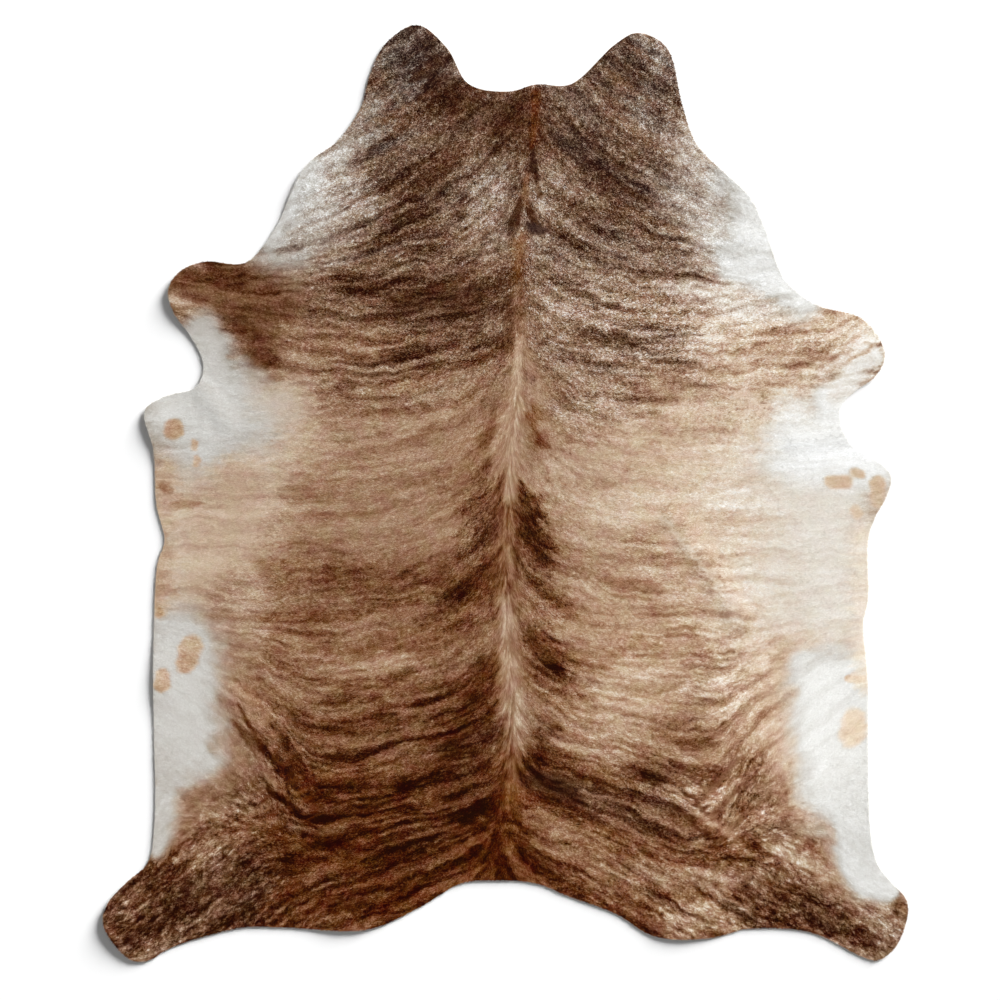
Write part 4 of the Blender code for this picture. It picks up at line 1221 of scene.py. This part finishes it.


# %% [markdown]
# ## Colour and texture places for the tufts
#
# A tuft carries four numbers at its corners, which the material reads: its lightness and warmth
# from the map, a random number of its own, and how far along the tuft a corner is. Shaded by its
# own slope, a flat triangle would glitter among its neighbours, so all three corners take the
# sheet's upward direction instead, varied a little.
#
# So that each piece's colours can be painted into a picture, every tuft also needs a small place of
# its own in that picture. Two tufts share a square there, one on each side of its diagonal, and
# neighbours on the hide are neighbours in the picture.

# %% the coat's meshes
PAINTED_EDGE = 0.12   # the margin round a tuft's place, as a share of its square
HALF_SQUARE = ((0, 0), (1, 0), (0, 1))   # a tuft's corners, before that margin
OWN_GRAINS = (0.23, 0.22, 0.20, 0.17, 0.15)   # how much tufts differ in lightness, down the hide
GRAIN_LIMIT = 1.5     # no tuft differs by more than this many times that
GRAIN_POWER = 1.5     # of the contrast there, which leaves plain places nearly without grain


def in_picture_order(x, y):
    """The tufts' order by rows of the picture: sorted by y into rows, and by x in each row."""
    row_length = 2 * int(np.ceil(np.sqrt(len(x) / 2)))
    row = np.empty(len(y), dtype=int)
    row[np.argsort(y)] = np.arange(len(y)) // row_length
    return np.lexsort((x, row)), row_length // 2


def picture_places(count, squares):
    """Corners in the picture: the lower left and upper right halves of squares, row by row."""
    place = np.arange(count)
    square = place // 2
    corners = np.array(HALF_SQUARE, dtype=float) * (1 - 2 * PAINTED_EDGE) + PAINTED_EDGE / 2
    corners = np.where((place % 2 == 0)[:, None, None], corners, 1 - corners)
    origin = np.column_stack([square % squares, square // squares])
    return (origin[:, None] + corners) / squares


def sheet_normals(x, y):
    """The tufts' shading: the sheet's upward direction at their middles, varied a little.

    It is (-dz/dx, -dz/dy, 1) made a unit long. The slopes are the lift's change over two map steps.
    """
    slope_x = (lift_off_floor(x + MAP_STEP, y) - lift_off_floor(x - MAP_STEP, y)) / (2 * MAP_STEP)
    slope_y = (lift_off_floor(x, y + MAP_STEP) - lift_off_floor(x, y - MAP_STEP)) / (2 * MAP_STEP)
    tilt = SHADE_SPREAD * random.standard_normal((2, len(x)))
    normals = np.column_stack([tilt[0] - slope_x, tilt[1] - slope_y, np.ones(len(x))])
    return normals / np.linalg.norm(normals, axis=1)[:, None]


def carry(mesh, name, values):
    """Gives every point of a mesh a number under a name that materials can read."""
    attribute = mesh.attributes.new(name, "FLOAT", "POINT")
    attribute.data.foreach_set("value", values.astype(np.float32))


def coat_mesh(name, ribs):
    """One joined mesh of a piece's tufts, with their numbers and their picture places."""
    corners, colour_x, colour_y = tufts(ribs)
    order, squares = in_picture_order(colour_x, colour_y)
    corners, colour_x, colour_y = corners[order], colour_x[order], colour_y[order]
    count = len(order)
    mesh = make_mesh(name, corners.reshape(-1, 3), np.arange(3 * count).reshape(-1, 3))
    normals = sheet_normals(colour_x, colour_y)
    mesh.normals_split_custom_set_from_vertices(np.repeat(normals, 3, axis=0).tolist())
    grain = down_the_hide(colour_y, OWN_GRAINS)
    grain = grain * look_up(contrast_map, colour_x, colour_y) ** GRAIN_POWER
    grain = grain * (1 - SPINE_TIDIER * look_up(spine_share, colour_x, colour_y))
    grain = grain * np.clip(random.standard_normal(count), -GRAIN_LIMIT, GRAIN_LIMIT)
    numbers = {
        "tone": look_up(tone_map, colour_x, colour_y) + grain,
        "warmth": look_up(warmth_map, colour_x, colour_y),
        "own": random.uniform(0, 1, count),
    }
    for number_name, values in numbers.items():
        carry(mesh, number_name, np.repeat(values, 3))
    carry(mesh, "along", np.tile([0.0, 0.0, 1.0], count))
    picture = mesh.uv_layers.new(name="OFBake")
    picture.uv.foreach_set("vector", picture_places(count, squares).astype(np.float32).ravel())
    return mesh


coat = [add_piece(name, coat_mesh(name, ribs)) for name, ribs in zip(COAT_PIECES, ribs_of_piece)]
for piece in coat:
    print(f"{piece.name}: {len(piece.data.polygons)} tufts")

# %% [markdown]
# The leather shows between the tufts, so its points carry the same two numbers from the map.

# %% the leather's own map numbers
for number_name, field in (("tone", tone_map), ("warmth", warmth_map)):
    carry(leather.data, number_name, look_up(field, leather_points[:, 0], leather_points[:, 1]))
print("leather carries the coat's lightness and warmth under the hair")

# %% [markdown]
# ## Writing materials as sums
#
# A material is a graph of nodes, and graphs are hard to read as code. The class below wraps one
# output socket, so that a sum written in Python adds the Math nodes for it. Every other
# node comes from one function that takes the node's type, its settings and its inputs.

# %% sockets that take part in sums
class Wire:
    """A node's output that can be added, taken away and multiplied."""

    def __init__(self, tree, socket):
        self.tree = tree
        self.socket = socket

    def math(self, operation, first, second):
        return add_node(self.tree, "ShaderNodeMath", {"operation": operation}, {0: first, 1: second})

    def __add__(self, other):
        return self.math("ADD", self, other)

    __radd__ = __add__

    def __mul__(self, other):
        return self.math("MULTIPLY", self, other)

    __rmul__ = __mul__

    def __sub__(self, other):
        return self.math("SUBTRACT", self, other)

    def __rsub__(self, other):
        return self.math("SUBTRACT", other, self)


def connect(tree, socket, value):
    """Links a Wire to a socket, or sets a plain value on it."""
    if isinstance(value, Wire):
        tree.links.new(value.socket, socket)
    else:
        socket.default_value = value


def add_node(tree, kind, settings, inputs, output=0):
    """A new node: its settings first, then its inputs. It gives back one of its outputs."""
    node = tree.nodes.new(kind)
    for name, value in settings.items():
        if name == "stops":
            set_stops(node.color_ramp, value)
        else:
            setattr(node, name, value)
    for name, value in inputs.items():
        connect(tree, node.inputs[name], value)
    return Wire(tree, node.outputs[output])


def set_stops(ramp, stops):
    """Gives a colour ramp its stops, each a place and a colour."""
    for _ in stops[2:]:
        ramp.elements.new(0.5)
    for element, (place, colour) in zip(ramp.elements, stops):
        element.position = place
        element.color = colour


def new_material(name):
    """An empty material: its tree and its shader."""
    material = bpy.data.materials.new(name)
    material.use_nodes = True
    return material, material.node_tree, material.node_tree.nodes["Principled BSDF"]


def paint(red, green, blue):
    """A colour as a screen shows it, 0 to 255, turned into the linear values that light adds up in."""
    screen = np.array([red, green, blue]) / 255
    linear = np.where(screen <= 0.04045, screen / 12.92, ((screen + 0.055) / 1.055) ** 2.4)
    return (*(float(value) for value in linear), 1.0)


# %% [markdown]
# ## Hair colours
#
# All the colours of this coat lie on three scales from dark to light: the cool brown of the neck,
# the warm fox brown of the rump, and the grey to white of the belly. Lightness picks the place on
# a scale, and warmth blends the scales. A scale's stops are closer together in the darks, where a
# small step shows most. The hue drifts a little from place to place. Hair is darker where it leaves
# the skin: partly its own colour, and partly painted shade deep in the coat. No two tufts are
# quite alike.

# %% the scales
COOL_BROWN = (
    (0.05, (32, 10, 4)), (0.10, (46, 20, 8)), (0.17, (66, 37, 22)), (0.25, (88, 58, 40)),
    (0.34, (112, 82, 63)), (0.44, (137, 107, 87)), (0.54, (161, 132, 111)), (0.64, (184, 159, 139)),
    (0.73, (205, 185, 164)), (0.85, (224, 215, 202)), (0.94, (240, 239, 236)),
)
WARM_BROWN = (
    (0.04, (32, 6, 2)), (0.085, (53, 15, 4)), (0.155, (75, 32, 14)), (0.24, (99, 53, 31)),
    (0.34, (126, 80, 52)), (0.45, (150, 108, 79)), (0.55, (172, 135, 105)), (0.65, (192, 162, 133)),
    (0.75, (208, 189, 165)), (0.83, (225, 210, 190)), (0.90, (238, 229, 215)),
)
GREY_TO_WHITE = (
    (0.08, (28, 22, 24)), (0.30, (84, 76, 72)), (0.50, (136, 126, 119)), (0.65, (170, 163, 154)),
    (0.76, (195, 191, 185)), (0.84, (213, 212, 208)), (0.91, (231, 231, 229)), (0.98, (250, 251, 252)),
)
RICHER = 1.10             # a single hair is richer in colour than many are, seen together
HUE_DRIFT = (28.0, 2.5)   # the noise's scale and detail
HUE_SPREAD = 0.06
# roots darker: partly the hair's own colour, partly painted shade deep in the coat
ROOT_DARKER = 0.05
AVERAGE_ALONG = 0.6       # where along a tuft it has its own lightness
STRANDS = (900.0, 1.0)    # the noise's scale and detail
STRAND_SPREAD = 0.06
OWN_WARMTH = 0.12
HAIR_ROUGHNESS = 0.55
OWN_ROUGHNESS = 0.2
DULL = 0.04               # what hair and skin mirror, as the shader's specular level


def number(tree, name):
    """One of the numbers that a mesh carries at its points."""
    return add_node(tree, "ShaderNodeAttribute", {"attribute_name": name}, {}, output="Fac")


def noise_on(tree, scale, detail):
    """Noise over the piece's own coordinates, 0 to 1."""
    place = add_node(tree, "ShaderNodeTexCoord", {}, {}, output="Object")
    return add_node(tree, "ShaderNodeTexNoise", {}, {"Vector": place, "Scale": scale, "Detail": detail})


def varied(wire, spread):
    """A number around 0, as far to both sides as half the spread, from one between 0 and 1."""
    return (wire - 0.5) * spread


def mixed(tree, share, first, second):
    """Two colours blended by a share."""
    return add_node(tree, "ShaderNodeMix", {"data_type": "RGBA", "clamp_factor": True},
                    {0: share, 6: first, 7: second}, output=2)


def scale_colour(tree, scale, tone):
    """The colour at a lightness on one of the scales."""
    stops = [(place, paint(*colour)) for place, colour in scale]
    return add_node(tree, "ShaderNodeValToRGB", {"stops": stops}, {0: tone})


def coat_colour(tree, tone, warmth):
    """The three scales' colours at a lightness, blended by warmth and made richer."""
    browns = mixed(tree, warmth, scale_colour(tree, COOL_BROWN, tone),
                   scale_colour(tree, WARM_BROWN, tone))
    blend = mixed(tree, warmth * -1, browns, scale_colour(tree, GREY_TO_WHITE, tone))
    hue = 0.5 + varied(noise_on(tree, *HUE_DRIFT), HUE_SPREAD)
    return add_node(tree, "ShaderNodeHueSaturation", {},
                    {"Hue": hue, "Saturation": RICHER, "Color": blend})


def hair_material():
    """The coat's tufts: colour by their numbers, fine strands along them, and a soft sheen."""
    material, tree, shader = new_material("brindle hair")
    tone, warmth, own, along = (number(tree, name) for name in ("tone", "warmth", "own", "along"))
    # darker towards the root: partly the hair's colour, partly painted shade deep in the coat
    lightness = (tone + (along - AVERAGE_ALONG) * ROOT_DARKER
                 + varied(noise_on(tree, *STRANDS), STRAND_SPREAD))
    colour = coat_colour(tree, lightness, warmth + varied(own, OWN_WARMTH))
    connect(tree, shader.inputs["Base Color"], colour)
    connect(tree, shader.inputs["Roughness"], HAIR_ROUGHNESS + varied(own, OWN_ROUGHNESS))
    shader.inputs["Specular IOR Level"].default_value = DULL
    return material


hair = hair_material()
for piece in coat:
    piece.data.materials.append(hair)
print("hair material on", len(coat), "pieces")

# %% [markdown]
# ## Leather finishes
#
# Under the hair the skin takes the coat's own colour, so that no gap between tufts shows as a bare
# dot, and a little darker, as painted shade deep in the coat. The flesh side is suede, pale and
# finely napped. The cut edge is the raw hide itself, nearly white, with the layers of the cut in it.

# %% leather materials
LEATHER_ROUGHNESS = 0.8
# the skin is a little darker than the coat: painted shade under the tufts
SKIN_DARKER = 0.03
PORES = (400.0, 2.0)      # the noise's scale and detail
PORE_SPREAD = 0.1
PORE_BUMP = (0.4, 0.0005)    # strength, and how deep a full step of the noise is
CLOUDS = (9.0, 4.0)       # scale and detail
CLOUD_SPREAD = 0.7        # of the way from the dark colour to the light one
NAP_DETAIL = 2.0
NAP_SPREAD = 0.6
NAP_ROUGHNESS = 0.2
NAP_BUMP = (0.5, 0.0004)
NAPPED = (
    # name, light colour, dark colour and the nap noise's scale
    ("suede flesh side", (214, 196, 170), (178, 154, 124), 700.0),
    ("raw cut edge", (226, 212, 190), (190, 168, 140), 1100.0),
)


def raise_by(tree, shader, height, strength, depth):
    """Makes a shader's surface look raised where a height is great."""
    bump = add_node(tree, "ShaderNodeBump", {}, {"Strength": strength, "Distance": depth, "Height": height})
    connect(tree, shader.inputs["Normal"], bump)


def skin_material():
    """The hair side of the leather: the coat's colour in its depth, with pores."""
    material, tree, shader = new_material("skin under the hair")
    pores = noise_on(tree, *PORES)
    # the coat's lightness, less SKIN_DARKER as painted shade under the tufts
    tone = number(tree, "tone") - SKIN_DARKER + varied(pores, PORE_SPREAD)
    connect(tree, shader.inputs["Base Color"], coat_colour(tree, tone, number(tree, "warmth")))
    shader.inputs["Roughness"].default_value = LEATHER_ROUGHNESS
    shader.inputs["Specular IOR Level"].default_value = DULL
    raise_by(tree, shader, pores, *PORE_BUMP)
    return material


def napped_material(name, light, dark, nap_size):
    """Napped leather: two close colours in soft clouds, with a fine nap over them."""
    material, tree, shader = new_material(name)
    nap = noise_on(tree, nap_size, NAP_DETAIL)
    share = 0.5 + varied(noise_on(tree, *CLOUDS), CLOUD_SPREAD) + varied(nap, NAP_SPREAD)
    connect(tree, shader.inputs["Base Color"], mixed(tree, share, paint(*dark), paint(*light)))
    connect(tree, shader.inputs["Roughness"], LEATHER_ROUGHNESS + varied(nap, NAP_ROUGHNESS))
    raise_by(tree, shader, nap, *NAP_BUMP)
    return material


for finish in (skin_material(), *(napped_material(*finish) for finish in NAPPED)):
    leather.data.materials.append(finish)
print("leather materials:", ", ".join(slot.name for slot in leather.data.materials))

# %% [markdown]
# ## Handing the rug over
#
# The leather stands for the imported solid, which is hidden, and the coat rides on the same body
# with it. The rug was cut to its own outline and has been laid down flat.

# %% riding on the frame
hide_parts("cowhide")
for piece in (leather, *coat):
    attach(piece, "root")
